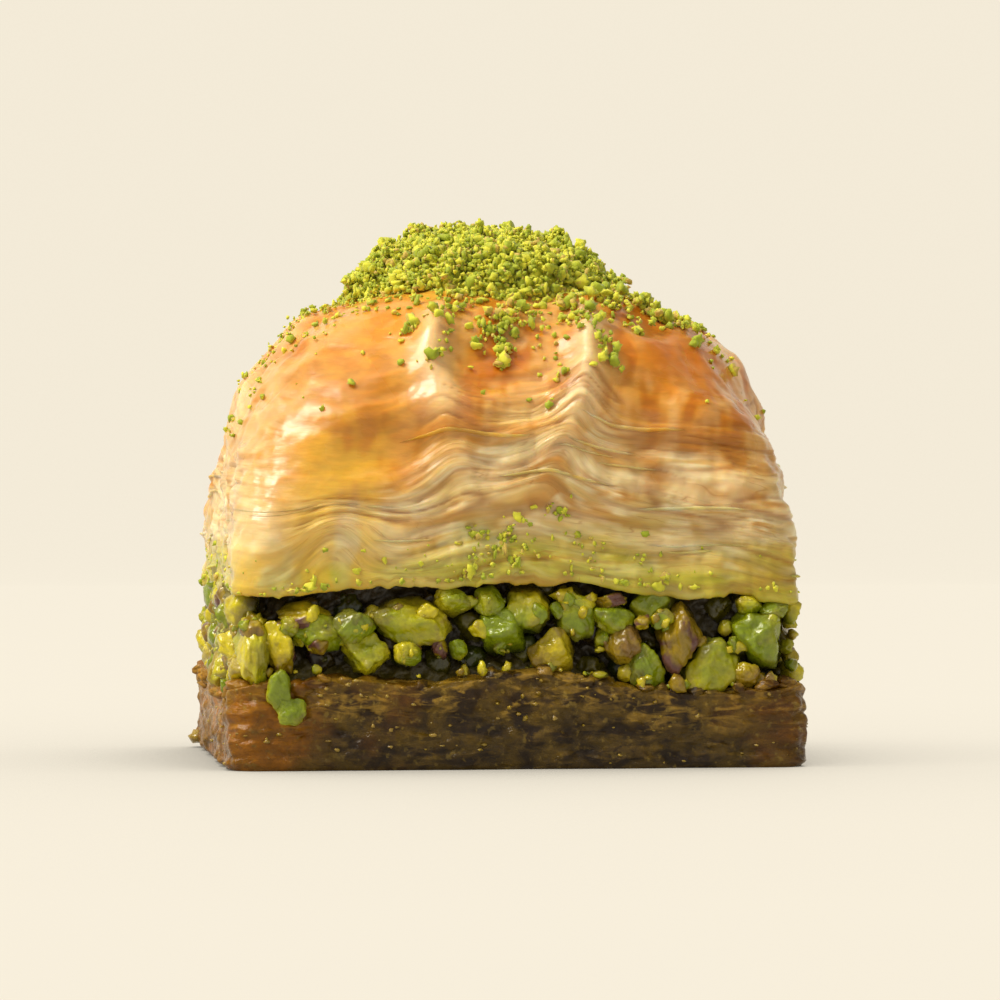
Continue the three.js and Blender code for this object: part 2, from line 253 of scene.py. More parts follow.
class BaklavaSizes(bpy.types.PropertyGroup):
    """Sizes of the piece and of what it is made of."""

    piece_width: length("Piece width", "Left to right at the cut", (BASE_HIGH.x - BASE_LOW.x) / MM)
    piece_depth: length("Piece depth", "Front to back at the cut", (BASE_HIGH.y - BASE_LOW.y) / MM)
    base_height: length("Base height", "Mean height of the soaked base", 7)
    base_swell: length("Base swell", "How far the base's top rises and falls", 1)
    base_corner: length("Base corner", "Corner radius of the cut", 2.2)
    filling_top: length("Filling top", "Height of the dome's lower edge at the corners", 13.6)
    dome_top: length("Dome top", "Height of the crown", 39)
    dome_inset: length("Dome inset", "How far the dome stands back from the base", 0.55)
    dome_corner: length("Dome corner", "Corner radius of the dome's lower edge", 2.4)
    dome_arch: length("Dome arch", "Rise of the dome's lower edge mid side", 1.3)
    dome_lean: length("Dome lean", "How far the crown stands to the right", 0.9)
    sheet_count: count("Sheets", "Sheets whose edges show below the crust", 30)
    layered_share: number("Layered share", "Share of the dome's height that shows sheet edges", 0.63)
    flap_count: count("Peeling sheets", "Sheet ends that peel out of the cut", 48)
    mound_top: length("Mound top", "Height of the heap of ground pistachio", 43.4)
    mound_width: length("Mound width", "Width of the heap", 24.4)
    mound_depth: length("Mound depth", "Depth of the heap", 21.6)
    crumb_smallest: length("Smallest crumb", "Half size of the finest ground crumb", 0.16)
    crumb_largest: length("Largest crumb", "Half size of the coarsest ground crumb", 0.48)
    mound_crumbs: count("Mound crumbs", "Ground crumbs of each fine sort on the heap", 4200)
    dust_crumbs: count("Dust crumbs", "Fine crumbs over the crust, and half as many low down", 420)
    base_lumps: count("Base lumps", "Soft lumps along the base's top edge", 90)
    base_specks: count("Base specks", "Specks of nut on the base's cuts", 480)
    nut_rows: count("Nut rows", "Rows of chopped nuts at the sides and back, and behind the front", 3)
    nuts_a_row: count("Nuts a row", "Chopped nuts in each row round the piece", 46)
    gap_nuts: count("Gap nuts", "Small nuts in the gaps of the front cut", 36)
    filler_nuts: count("Filler nuts", "Small nuts in the widest gaps of the other three cuts", 100)
    nut_bits: count("Nut bits", "Fine bits of nut between the chopped ones", 780)


class BaklavaColours(bpy.types.PropertyGroup):
    """Colours of the pastry and the pistachios."""

    sheet_edge: colour("Lower edge", "Nut-stained lower edge of the dome", (186, 180, 40))
    sheet_pale: colour("Pale sheets", "Soft inner sheets", (226, 190, 118))
    sheet_gold: colour("Golden sheets", "Sheets below the crust", (206, 148, 70))
    crust_gold: colour("Golden crust", "Lighter crust", (230, 158, 40))
    crust_amber: colour("Amber crust", "Deepest baked crust", (194, 108, 8))
    # Partly syrup in the seams and partly painted shade under the sheets' laps.
    seam_and_shade_brown: colour("Seams", "Syrup in the seams between sheets", (170, 104, 32))
    # Also the colour of the painted sheen and highlights on the sheets and on the folds.
    sheet_white_and_sheen: colour("White sheets", "Milky patches on the cut sheets", (244, 223, 172))
    # Makes the sheets left of the front yellower.
    sheet_left_yellow: colour("Syrupy sheets", "Yellow syrup in the sheets left of the front", (234, 186, 44))
    # Also the colour of the painted highlight by the left corner.
    milky_film_and_highlight: colour("Milky film", "Thin milky film on the crust", (226, 178, 110))
    base_dark: colour("Soaked base", "Middle of the soaked base", (48, 30, 2))
    base_amber: colour("Amber base", "Ends of the base that the light goes through", (186, 116, 0))
    base_brown: colour("Brown base", "Lighter brown clouds in the base", (100, 76, 12))
    base_wet: colour("Wet layers", "Paler wet layers in the base", (146, 114, 38))
    base_grain: colour("Base grains", "Pale grains in the base's cut", (160, 132, 52))
    nut_green: colour("Green kernel", "Green pistachio flesh", (124, 140, 10))
    nut_yellow: colour("Yellow kernel", "Ripe yellow-green flesh", (206, 190, 26))
    nut_olive: colour("Olive kernel", "Syrup-soaked flesh", (144, 118, 18))
    nut_skin: colour("Kernel skin", "Purple-brown skin", (104, 66, 56))
    # Painted shade: the paste deep between the nuts is partly dark with syrup and partly darkened for the
    # shade of the gaps.
    paste_in_shade: colour("Filling depth", "Soaked paste deep between the nuts", (44, 34, 6))
    nut_paste: colour("Nut paste", "Fine paste near the cut", (130, 116, 28))
    ground_light: colour("Light crumbs", "Bright ground pistachio", (224, 220, 62))
    ground_dark: colour("Dark crumbs", "Green ground pistachio", (162, 174, 40))
    ground_toasted: colour("Toasted crumbs", "The few toasted crumbs", (206, 178, 84))


class BaklavaStage(bpy.types.PropertyGroup):
    """Camera and light."""

    lens: number("Lens", "Focal length in mm on a 36 mm wide sensor", 135.17)
    yaw: number("Yaw", "How far the camera stands to the left", math.radians(8.138), subtype="ANGLE")
    distance: length("Distance", "From the camera to the piece", 311.0)
    eye: length("Eye height", "Height of the camera", 16.83)
    aim_right: length("Aim right", "Place right of the middle that the camera looks at", 1.2)
    aim_height: length("Aim height", "Height that the camera looks at", 21.22)
    key_power: number("Key light", "Watts of the warm light from high at the left", 6.0)
    fill_power: number("Fill light", "Watts of the soft light from the front", 0.8)
    top_power: number("Top light", "Watts of the soft light from above", 0.9)
    room: number("Room light", "Strength of the light from all round", 0.33)
    paper: colour("Paper", "The floor and backdrop", (246, 237, 218))


def sizes():
    """The sizes, in millimetres where they are lengths."""
    return bpy.context.scene.baklava_sizes


def colours():
    """The colours."""
    return bpy.context.scene.baklava_colours


# Shapes


def smooth(x, low, high):
    """0 below low, 1 above high, and 3t^2 - 2t^3 between them."""
    t = np.clip((x - low) / (high - low), 0, 1)
    return t * t * (3 - 2 * t)


def mix(first, second, share):
    """The value that share of the way from first to second."""
    return first + (second - first) * share


def away_from(turn, place):
    """How far a turn lies past a place the short way round, from -0.5 to 0.5."""
    return turn - place - np.round(turn - place)


def bell(away, reach, power=2):
    """exp(-(away / reach)^power): 1 at 0 and about a third at reach, with a flatter top at power 4."""
    return np.exp(-((away / reach) ** power))


def drift(turn, along, cells, seed):
    """Uneven values from -1 to 1 that close round the outline: random values on a lattice, with cells
    columns round it and one row for each step of along, blended by 3t^2 - 2t^3 of the place between
    them, both ways."""
    rows = 128
    table = np.random.default_rng(seed).uniform(-1, 1, (rows, cells))
    column, row = np.broadcast_arrays(np.mod(turn, 1.0) * cells, np.mod(along, float(rows)))
    left, low = np.floor(column).astype(int), np.floor(row).astype(int)
    across, up = smooth(column - left, 0, 1), smooth(row - low, 0, 1)
    left, right, low, high = left % cells, (left + 1) % cells, low % rows, (low + 1) % rows
    lower = mix(table[low, left], table[low, right], across)
    return mix(lower, mix(table[high, left], table[high, right], across), up)


def lumps(points, size, seed, waves=20):
    """Uneven values round 0 in space: a sum of sine waves in random directions, each about size long."""
    random = np.random.default_rng(seed)
    direction = random.normal(size=(waves, 3))
    direction /= np.linalg.norm(direction, axis=1, keepdims=True)
    direction *= TAU / (size * random.uniform(0.7, 1.5, (waves, 1)))
    return np.sin(points @ direction.T + random.uniform(0, TAU, waves)).sum(-1) * math.sqrt(2 / waves)


def outline(turn, half_width, half_depth, corner):
    """A rectangle with round corners and the outward direction on it. Each quarter of the turn ends in
    the middle of a side, and within it the place is an even share of the length: flat, arc, flat."""
    whole = np.mod(turn, 1.0) * 4
    quarter = np.floor(whole)
    share = np.where(quarter % 2 == 1, 1 - (whole - quarter), whole - quarter)
    flat_width, flat_depth, arc = half_width - corner, half_depth - corner, corner * np.pi / 2
    along = share * (flat_width + arc + flat_depth)
    angle = np.clip((along - flat_width) / corner, 0, np.pi / 2)
    x = np.minimum(along, flat_width) + corner * np.sin(angle)
    y = -flat_depth - corner * np.cos(angle) + np.maximum(along - flat_width - arc, 0)
    right = np.where(quarter < 2, 1, -1)
    front = np.where((quarter == 0) | (quarter == 3), 1, -1)
    return x * right, y * front, np.sin(angle) * right, -np.cos(angle) * front


def cut_outline(turn, inset, corner):
    """The outline of the piece's four cuts, moved in by inset, as outline gives it."""
    size = sizes()
    half_width, half_depth = size.piece_width / 2 / MM - inset, size.piece_depth / 2 / MM - inset
    return outline(turn, half_width, half_depth, corner)


def base_edge(turn):
    """Height of the base's top at its edge: two sine waves round the outline."""
    swell = 0.6 * np.sin(TAU * 3 * turn + 2.4) + 0.4 * np.sin(TAU * 8 * turn + 1)
    return (sizes().base_height + sizes().base_swell * swell) / MM


def dome_edge(turn):
    """Height of the dome's lower edge: it arches up mid side, with small waves."""
    arch = np.cos(TAU * 2 * turn) ** 2
    return (sizes().filling_top + sizes().dome_arch * arch) / MM + 0.22 * np.sin(TAU * 11 * turn + 0.7)


def fold_height(turn, share):
    """Height of the folds: exp(-(away^2 + 0.06)^0.8) of each, away being in widths of the fold, whose
    place leans with the share."""
    total = 0
    for place, lean, height, width in FOLDS:
        away = away_from(turn - lean * 2 * (share - 0.45), place) / (width * (1.7 - share))
        total = total + height * np.exp(-((away**2 + 0.06) ** 0.8))
    return total


def smooth_lobe(turn):
    """1 in the smooth lobe at the left of the front, where the crust hangs low, and 0 away from it."""
    return bell(away_from(turn, SMOOTH_LOBE), 0.047, 4)


def crust_lip(turn):
    """Share where the crust ends and the cut sheets begin: it hangs low at the left of the front, stands
    high in its middle, and drifts everywhere, most of all on the cuts away from the front."""
    away = away_from(turn, 0)
    lip = 0.45 - 0.17 * smooth_lobe(turn) + 0.08 * bell(away, 0.035)
    uneven = 1 + 1.6 * smooth(np.abs(away), 0.16, 0.24)
    return lip + uneven * (0.03 * drift(turn, 0.5, 9, 31) + 0.014 * drift(turn, 1.5, 33, 32))


def dome_bulge(turn, share):
    """How far the dome's side sags or swells in mm: two uneven values, and a bell both ways for each of
    SWELLS. It fades out at the lower edge and the crown."""
    bulge = 0.5 * drift(turn, share * 7, 11, 9) + 0.25 * drift(turn, share * 13, 26, 10)
    for place, wide, level, tall, out_by in SWELLS:
        bulge = bulge + out_by * bell(away_from(turn, place), wide) * bell(share - level, tall)
    return bulge * smooth(share, 0, 0.12) * (1 - smooth(share, 0.82, 0.96))


def dome_point(turn, share, stand=0.0):
    """A point of the dome: a superellipse section swept round the outline, with folds that grow towards
    the crust. Sheets rise where they cross a fold, and arch once at the left of the front. Stand moves
    the point out along the section's slope."""
    size = sizes()
    reach = np.maximum(1 - share**SIDE_POWER, 0) ** (1 / WIDTH_POWER)
    half_width = (size.piece_width / 2 - size.dome_inset) / MM * reach
    half_depth = (size.piece_depth / 2 - size.dome_inset) / MM * reach
    corner = mix(size.dome_corner / MM, np.minimum(half_width, half_depth), share**1.6)
    corner = np.minimum(corner * np.minimum(1, reach + 0.2), half_depth * 0.98) + 1e-6
    x, y, out_x, out_y = outline(turn, half_width, half_depth, corner)
    upright = SIDE_POWER * share ** (SIDE_POWER - 1)
    sideways = WIDTH_POWER * reach ** (WIDTH_POWER - 1)
    slope = np.hypot(upright, sideways)
    folds = fold_height(turn, share)
    grown = smooth(share, 0.12, 0.6) * (1 - smooth(share, 0.78, 0.96))
    move = stand + folds * grown + dome_bulge(turn, share)
    low, high = dome_edge(turn), size.dome_top / MM
    lift = folds * 0.66 * 4 * share * (1 - share)
    arch = 1.1 * bell(away_from(turn, DOME_ARCH), 0.02) * np.sin(np.pi * np.clip(share / 0.3, 0, 1))
    x = x + out_x * move * sideways / slope + size.dome_lean / MM * share**2
    y = y + out_y * move * sideways / slope
    z = mix(low, high, share) + lift + arch + move * upright / slope
    return np.stack(np.broadcast_arrays(x, y, z), -1)


def sheet_number(turn, share, folds):
    """Which sheet lies at a place: the number grows evenly up the dome, wavers round it, and falls where
    the sheets rise over a fold or over the arch at the left of the front."""
    size = sizes()
    leaf = share * size.sheet_count / size.layered_share
    leaf = leaf + 1.6 * drift(turn, share * 7, 13, 11) + 0.9 * drift(turn, share * 15, 31, 12)
    leaf = leaf - 2.2 * folds * smooth(share, 0.12, 0.35) * (1 - smooth(share, 0.6, 0.8))
    arch = bell(away_from(turn, SHEET_ARCH), 0.017) * np.sin(np.pi * np.clip(share / 0.27, 0, 1))
    return leaf - 2.6 * arch


def dome_waves(turn, share, lobe):
    """Waves in space over the dome, the last two drawn out down its slope: knead and lobes in mm, torn,
    which says where a film lies on the crust and where it is off, and crease, the crust's finest
    wrinkles."""
    spot = dome_point(turn, share)
    flat = spot.reshape(-1, 3)
    knead = 0.1 * lumps(flat, 2.8, 27) + 0.04 * lumps(flat, 1.1, 28)
    lobes = 0.22 * lumps(flat, 8.5, 37) + (1 - 0.6 * lobe.ravel()) * 0.05 * lumps(flat, 3.2, 38)
    torn = lumps(flat * [1, 1, 0.55] + 0.7 * lumps(flat, 5, 39)[:, None], 4.2, 40, 14)
    torn = torn + 0.35 * lumps(flat * [1, 1, 0.5], 1.3, 43, 14)
    crease = lumps(flat * [1, 1, 0.35] + 0.5 * lumps(flat, 2.5, 41)[:, None], 1.1, 42, 14)
    return (wave.reshape(spot.shape[:-1]) for wave in (knead, lobes, torn, crease))


def crust_looks(turn, share, baked, lobe, torn):
    """Film, where a thin milky sheet still lies on the crust, and window, where it is off and the crust
    is clear amber. Both follow torn. The right shoulder and the stretch between the folds are clear, the
    lobe is smooth gold, and one spot by the left corner carries a pale painted highlight in the film."""
    shoulder = bell(away_from(turn, RIGHT_SHOULDER), 0.05, 4) * smooth(share, 0.55, 0.7)
    between = bell(away_from(turn, BETWEEN_FOLDS), 0.024, 4) * smooth(share, 0.56, 0.66)
    # Painted highlight: a pale patch by the left corner, laid into the film and kept out of the windows.
    away = away_from(turn, PAINTED_HIGHLIGHT_SPOT)
    painted_highlight = bell(away, 0.024) * bell(share - 0.75 - 4 * away, 0.07) * smooth(torn, -1.6, 0.4)
    film = 0.85 * smooth(torn, -0.8, 1.2) * baked * (1 - 0.8 * lobe)
    film = np.maximum(film * (1 - 0.7 * shoulder), painted_highlight)
    window = np.maximum(0.85 * smooth(-torn, -0.5, 1.5) * (1 - 0.55 * lobe), 0.95 * shoulder)
    window = np.maximum(window, between * smooth(-torn, -1.5, 1.0))
    return film, window * baked**2 * (1 - 0.8 * painted_highlight)


def milky_streaks_and_sheen(turn, share, leaf, corner):
    """Where the cut sheets are milky, partly as painted sheen, with a painted highlight at the left
    corner:
    uneven values drawn out along the sheets, the left corner, and a flat bell both ways for each of
    MILKY_PATCHES."""
    streak = drift(turn, leaf * 0.55, 40, 19) + 0.5 * drift(turn, leaf * 1.5, 100, 20)
    streak = np.maximum(smooth(streak, -0.15, 0.55), 0.95 * corner)
    for place, level, wide, tall in MILKY_PATCHES:
        patch = bell(away_from(turn, place), wide, 4) * bell(share - level, tall, 4)
        streak = np.maximum(streak, patch)
    return streak


def yellower_left_sheets(turn, share, torn):
    """Where the sheets are made yellower: up to the crust in the left lobe, low at the left corner."""
    away = away_from(turn, DOME_ARCH)
    low_sheets = bell(away, 0.024, 4) * (1 - smooth(share, 0.4, 0.62))
    low_corner = bell(away + 0.027, 0.03, 4) * (1 - smooth(share, 0.06, 0.22))
    return np.maximum(low_sheets, low_corner) * smooth(torn, -2.2, 0.2)


def pastry_relief(turn, share):
    """How far the dome's surface stands in mm, and its looks, each from 0 to 1 apart from leaf.

    Uneven values whose rows are leaves, the sheets' numbers, make soft, lens-like sheets that merge and
    part: coarse, fine, laps that rise and drop once a leaf, and thin seams where a value passes 0. Above
    the lip the crust is baked: its laps die down into shallow lobes, films, creases and a few wrinkles.
    The left corner is painted milky as a highlight, with weak laps, and the left flank is painted milky
    and with less crust colour, as a sheen of the light from the left."""
    turn, share = np.broadcast_arrays(turn, share)
    lip, lobe, folds = crust_lip(turn), smooth_lobe(turn), fold_height(turn, share)
    leaf = sheet_number(turn, share, folds)
    knead, lobes, torn, crease = dome_waves(turn, share, lobe)
    # Painted sheen of the light from the left: the left flank is made milky and gets less crust colour.
    flank = bell(away_from(turn, LEFT_FLANK), 0.115 - 0.05 * share, 4) * (1 - smooth(share, 0.55, 0.8))
    # Painted highlight: the left corner is made milky, with weak laps.
    corner = bell(away_from(turn, LEFT_CORNER), 0.021, 4) * (1 - smooth(share, 0.35, 0.5))
    baked = share - lip + 0.07 * drift(turn, leaf * 0.3, 26, 13) * (1 - lobe)
    baked = smooth(baked, -0.13, 0.08) * (1 - 0.6 * flank)
    film, window = crust_looks(turn, share, baked, lobe, torn)

    ends = lip + 0.13 * bell(away_from(turn, RIGHT_PLEATS), 0.017)
    cut = 1 - 0.93 * smooth(share, ends - 0.02 - 0.1 * lobe, ends + 0.17 - 0.06 * lobe)
    cut = cut * (1 - 0.75 * corner)
    open_here = smooth(drift(turn, leaf * 0.17, 15, 14), -0.8, 0.7)
    coarse, fine = drift(turn, leaf, 44, 15), drift(turn, leaf * 2.2, 120, 16)
    seam = bell(drift(turn, leaf * 0.62, 23, 17), 0.2) * cut * mix(0.25, 1, open_here)
    saw = leaf + 0.7 * drift(turn, leaf * 0.8, 33, 18)
    saw = saw - np.floor(saw)
    broken = smooth(drift(turn, leaf * 0.5, 52, 24), -0.35, 0.45)
    lap = mix(0.4, smooth(saw, 0, 0.25) * (1 - saw), broken)
    wrinkled = smooth(drift(turn, leaf * 0.2, 12, 23), -0.5, 0.4)
    wrinkle = bell(drift(turn, leaf * 0.7, 25, 22), 0.13) * wrinkled
    wrinkle = wrinkle * baked * (1 - lobe) * (1 - smooth(share, lip + 0.14, lip + 0.3))

    sheets = cut * (0.12 * coarse + 0.08 * fine + 0.12 * open_here * (lap - 0.4))
    dents = 0.13 * seam + 0.1 * wrinkle
    softness = knead * (1 - 0.6 * baked) * (1 - 0.5 * lobe)
    crust = baked * (lobes + 0.02 * film + 0.012 * crease * (1 - lobe)) * (1 - smooth(share, 0.82, 0.97))
    stand = sheets - dents + softness + crust + 0.04

    milky = np.maximum(film, milky_streaks_and_sheen(turn, share, leaf, corner) * (1 - baked))
    stained = share * (24 + 9 * lobe) + 1.5 * drift(turn, share * 14, 40, 29)
    # Painted shade just under each lap, which goes into the seams' brown.
    lap_shade = cut * open_here * broken * smooth(saw, 0.8, 1)
    # Painted highlight along the folds, which the finish whitens.
    ridge_highlight = np.clip(folds / 1.2, 0, 1) ** 1.5
    ridge_highlight = ridge_highlight * smooth(share, 0.45, 0.56) * (1 - smooth(share, 0.82, 0.92))
    looks = {
        "baked": baked,
        "cut": cut,
        "leaf": leaf,
        "stain": 1 - smooth(stained, 0.8, 5.0),
        "seam_and_shade": np.clip(0.8 * seam + 0.3 * lap_shade + 0.9 * wrinkle, 0, 1),
        "film": np.maximum(milky, flank * smooth(torn, -1.4, 0.2)),
        "window": window,
        "tone": np.clip(0.5 + 0.3 * coarse + 0.2 * fine + 0.3 * drift(turn, leaf * 0.33, 9, 21), 0, 1),
        "ridge_highlight": ridge_highlight,
        "syrup": yellower_left_sheets(turn, share, torn),
    }
    return stand, looks


def ring_quads(rows, columns):
    """Quads between rows of points whose last column meets the first."""
    row = np.arange(rows - 1)[:, None]
    column = np.arange(columns)[None, :]
    here, there = row * columns, (row + 1) * columns
    along = (column + 1) % columns
    return np.stack([here + column, here + along, there + along, there + column], -1).reshape(-1, 4)


def fans(rows, columns):
    """Triangles that close the first and the last row on the two points after the grid's own."""
    column = np.arange(columns)
    along, top = (column + 1) % columns, (rows - 1) * columns
    low = np.stack([np.full(columns, rows * columns), along, column], -1)
    high = np.stack([np.full(columns, rows * columns + 1), top + column, top + along], -1)
    return np.concatenate([low, high])


def closed_skin(grid, low_end, high_end):
    """Points and faces of rows of points round the piece that close on two end points."""
    rows, columns = grid.shape[:2]
    points = np.concatenate([grid.reshape(-1, 3), [low_end, high_end]])
    return points, [ring_quads(rows, columns), fans(rows, columns)]


def even_turns(amount):
    """A row of even turns round the outline."""
    return (np.arange(amount) / amount)[None, :]


def ball(level):
    """Directions and triangles of an icosahedron whose faces are split level times."""
    golden = (1 + 5**0.5) / 2
    points = [(-1, golden, 0), (1, golden, 0), (-1, -golden, 0), (1, -golden, 0)]
    points += [(0, -1, golden), (0, 1, golden), (0, -1, -golden), (0, 1, -golden)]
    points += [(golden, 0, -1), (golden, 0, 1), (-golden, 0, -1), (-golden, 0, 1)]
    faces = [(0, 11, 5), (0, 5, 1), (0, 1, 7), (0, 7, 10), (0, 10, 11), (1, 5, 9), (5, 11, 4)]
    faces += [(11, 10, 2), (10, 7, 6), (7, 1, 8), (3, 9, 4), (3, 4, 2), (3, 2, 6), (3, 6, 8)]
    faces += [(3, 8, 9), (4, 9, 5), (2, 4, 11), (6, 2, 10), (8, 6, 7), (9, 8, 1)]
    points, faces = np.array(points, float), np.array(faces)
    points /= np.linalg.norm(points, axis=1, keepdims=True)
    for _ in range(level):
        pairs = np.sort(np.concatenate([faces[:, [0, 1]], faces[:, [1, 2]], faces[:, [2, 0]]]), axis=1)
        edges, place = np.unique(pairs, axis=0, return_inverse=True)
        between = points[edges].mean(1)
        between /= np.linalg.norm(between, axis=1, keepdims=True)
        first, second, third = len(points) + place.reshape(3, -1)
        a, b, c = faces.T
        split = [(a, first, third), (b, second, first), (c, third, second), (first, second, third)]
        faces = np.concatenate([np.stack(corners, -1) for corners in split])
        points = np.concatenate([points, between])
    return points, faces


def turned(random, amount):
    """Random turns as matrices, from unit quaternions of four normal numbers."""
    four = random.normal(size=(amount, 4))
    w, x, y, z = four.T / np.linalg.norm(four, axis=1)
    rows = [1 - 2 * (y * y + z * z), 2 * (x * y - z * w), 2 * (x * z + y * w)]
    rows += [2 * (x * y + z * w), 1 - 2 * (x * x + z * z), 2 * (y * z - x * w)]
    rows += [2 * (x * z - y * w), 2 * (y * z + x * w), 1 - 2 * (x * x + y * y)]
    return np.stack(rows, -1).reshape(-1, 3, 3)


def chopped(centres, halves, level, seed, strokes, keen, rough=0.05):
    """Chopped pieces of nut. Each is a ball cut by flat knife strokes, up to six of them nearly at right
    angles: its radius one way is (1 + sum((max(cosine to stroke, 0) / distance of stroke)^keen)) to the
    power -1 / keen, so the cuts meet in round edges. It is then roughened by waves, turned and stretched
    to its half sizes. Returns the points, the triangles, and for each point how much of the ball's own
    skin is left there and the tone, which runs from end to end of a piece round its own random tone."""
    random = np.random.default_rng(seed)
    ways, faces = ball(level)
    amount, boxed = len(centres), min(strokes, 6)
    strokes_to = random.normal(size=(amount, strokes, 3))
    square = np.concatenate([np.eye(3), -np.eye(3)])[:boxed]
    strokes_to[:, :boxed] = square + 0.25 * strokes_to[:, :boxed]
    strokes_to /= np.linalg.norm(strokes_to, axis=2, keepdims=True)
    distance = random.uniform(0.58, 0.9, (amount, 1, strokes))
    distance = np.where(random.uniform(0, 1, distance.shape) < 0.2, 1.3, distance)
    cosine = np.einsum("vd,nkd->nvk", ways, strokes_to)
    cut = ((np.maximum(cosine, 0) / distance) ** keen).sum(-1)
    radius = (1 + cut) ** (-1 / keen)
    skin = 1 / (1 + cut)
    own = random.uniform(-40, 40, (amount, 1, 3))
    radius = radius * (1 + rough * lumps(ways[None] + own, 0.7, seed + 1, 12))
    radius = radius * (1 + 0.35 * rough * lumps(ways[None] + own, 0.24, seed + 2, 12))
    points = ways[None] * radius[..., None] * [1.12, 0.95, 0.9]
    points = np.einsum("nij,nvj->nvi", turned(random, amount), points)
    points = points * halves[:, None, :] + centres[:, None, :]
    all_faces = (faces[None] + np.arange(amount)[:, None, None] * len(ways)).reshape(-1, 3)
    tone = random.uniform(0, 1, amount)[:, None]
    tone = tone + 0.35 * (ways @ random.uniform(-1, 1, (3, amount))).T
    return points.reshape(-1, 3), all_faces, skin.ravel(), np.clip(tone, 0, 1).ravel()


def new_piece(name, points, faces, material, attributes, nodes):
    """Adds a mesh object from arrays: points in millimetres from the middle of the footprint, and a list
    of arrays of faces. It rides on the body, stands for its CAD nodes, and carries its own attributes for
    the finish."""
    mesh = bpy.data.meshes.new(name)
    mesh.vertices.add(len(points))
    mesh.vertices.foreach_set("co", (points * MM + MIDDLE).astype(np.float32).ravel())
    corners = np.concatenate([part.ravel() for part in faces]).astype(np.int32)
    totals = np.concatenate([np.full(len(part), part.shape[1]) for part in faces])
    mesh.loops.add(len(corners))
    mesh.loops.foreach_set("vertex_index", corners)
    mesh.polygons.add(len(totals))
    starts = np.concatenate([[0], np.cumsum(totals)[:-1]]).astype(np.int32)
    mesh.polygons.foreach_set("loop_start", starts)
    mesh.update(calc_edges=True)
    if mesh.validate():
        raise RuntimeError(f"{name} has faces that don't fit together")
    mesh.shade_smooth()
    for key, values in attributes.items():
        kept = mesh.attributes.new(key, "FLOAT", "POINT")
        kept.data.foreach_set("value", values.astype(np.float32).ravel())
    mesh.materials.append(material)
    piece = bpy.data.objects.new(name, mesh)
    bpy.context.scene.collection.objects.link(piece)
    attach(piece, "root")
    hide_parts(*nodes)


# Finishes


def put(material, kind, sockets, **settings):
    """Adds a node. Its settings come first, then each socket takes a value or another node's output."""
    tree = material.node_tree
    node = tree.nodes.new(kind)
    for name, value in settings.items():
        setattr(node, name, value)
    for name, value in sockets.items():
        if isinstance(value, bpy.types.NodeSocket):
            tree.links.new(value, node.inputs[name])
        else:
            node.inputs[name].default_value = value
    return node


def wire(material, source, target):
    """Links an output to a socket."""
    material.node_tree.links.new(source, target)


def finish_of(name, **constants):
    """A new material and its shader, with the shader's constant sockets set."""
    material = bpy.data.materials.new(name)
    material.use_nodes = True
    shader = material.node_tree.nodes["Principled BSDF"]
    for key, value in constants.items():
        shader.inputs[key.replace("_", " ").title().replace("Ior", "IOR")].default_value = value
    return material, shader


def coordinates(material):
    """Object coordinates, which are metres in the piece's frame."""
    return put(material, "ShaderNodeTexCoord", {}).outputs["Object"]


def grain(material, size, detail=3.0, stretch=(1, 1, 1), warp=0.0):
    """Soft noise whose lumps are about size in millimetres, stretched by dividing each axis."""
    scaled = put(material, "ShaderNodeMapping", {"Vector": coordinates(material), "Scale": stretch})
    sockets = {
        "Vector": scaled.outputs[0],
        "Scale": 1 / (size * MM),
        "Detail": detail,
        "Roughness": 0.55,
        "Distortion": warp,
    }
    return put(material, "ShaderNodeTexNoise", sockets).outputs[0]


def maths(material, operation, first, second=0.0):
    """The output of a Math node."""
    sockets = {0: first, 1: second, 2: 0.0}
    return put(material, "ShaderNodeMath", sockets, operation=operation).outputs[0]


def times(material, first, second):
    """The product of two numbers."""
    return maths(material, "MULTIPLY", first, second)


def millimetres(material, axis):
    """How far a place lies along an axis of the piece's frame: Z is the height over the table."""
    apart = put(material, "ShaderNodeSeparateXYZ", {"Vector": coordinates(material)})
    return times(material, apart.outputs[axis], 1 / MM)


def spread(material, value, low, high, to_low=0.0, to_high=1.0):
    """The value carried smoothly from one range to another, held at its ends."""
    sockets = {"Value": value, "From Min": low, "From Max": high, "To Min": to_low, "To Max": to_high}
    return put(material, "ShaderNodeMapRange", sockets, interpolation_type="SMOOTHSTEP").outputs[0]


def blend(material, factor, first, second, way="MIX"):
    """Two colours mixed by a factor."""
    sockets = {0: factor, 6: first, 7: second}
    return put(material, "ShaderNodeMix", sockets, data_type="RGBA", blend_type=way).outputs[2]


def attribute(material, name):
    """A piece's own attribute as a number."""
    return put(material, "ShaderNodeAttribute", {}, attribute_name=name).outputs["Fac"]


def brightened(material, shade, low, high, value):
    """A colour times a grey that runs from low to high with a value from 0 to 1."""
    grey = spread(material, value, 0.0, 1.0, low, high)
    grey = put(material, "ShaderNodeCombineColor", {0: grey, 1: grey, 2: grey}).outputs[0]
    return blend(material, 1.0, shade, grey, "MULTIPLY")


def relief(material, shader, *layers):
    """Bumps laid over each other: each layer is a height value and how many millimetres it stands."""
    normal = None
    for value, stand in layers:
        sockets = {"Height": value, "Strength": 1.0, "Distance": stand * MM}
        if normal is not None:
            sockets["Normal"] = normal
        normal = put(material, "ShaderNodeBump", sockets).outputs[0]
    wire(material, normal, shader.inputs["Normal"])


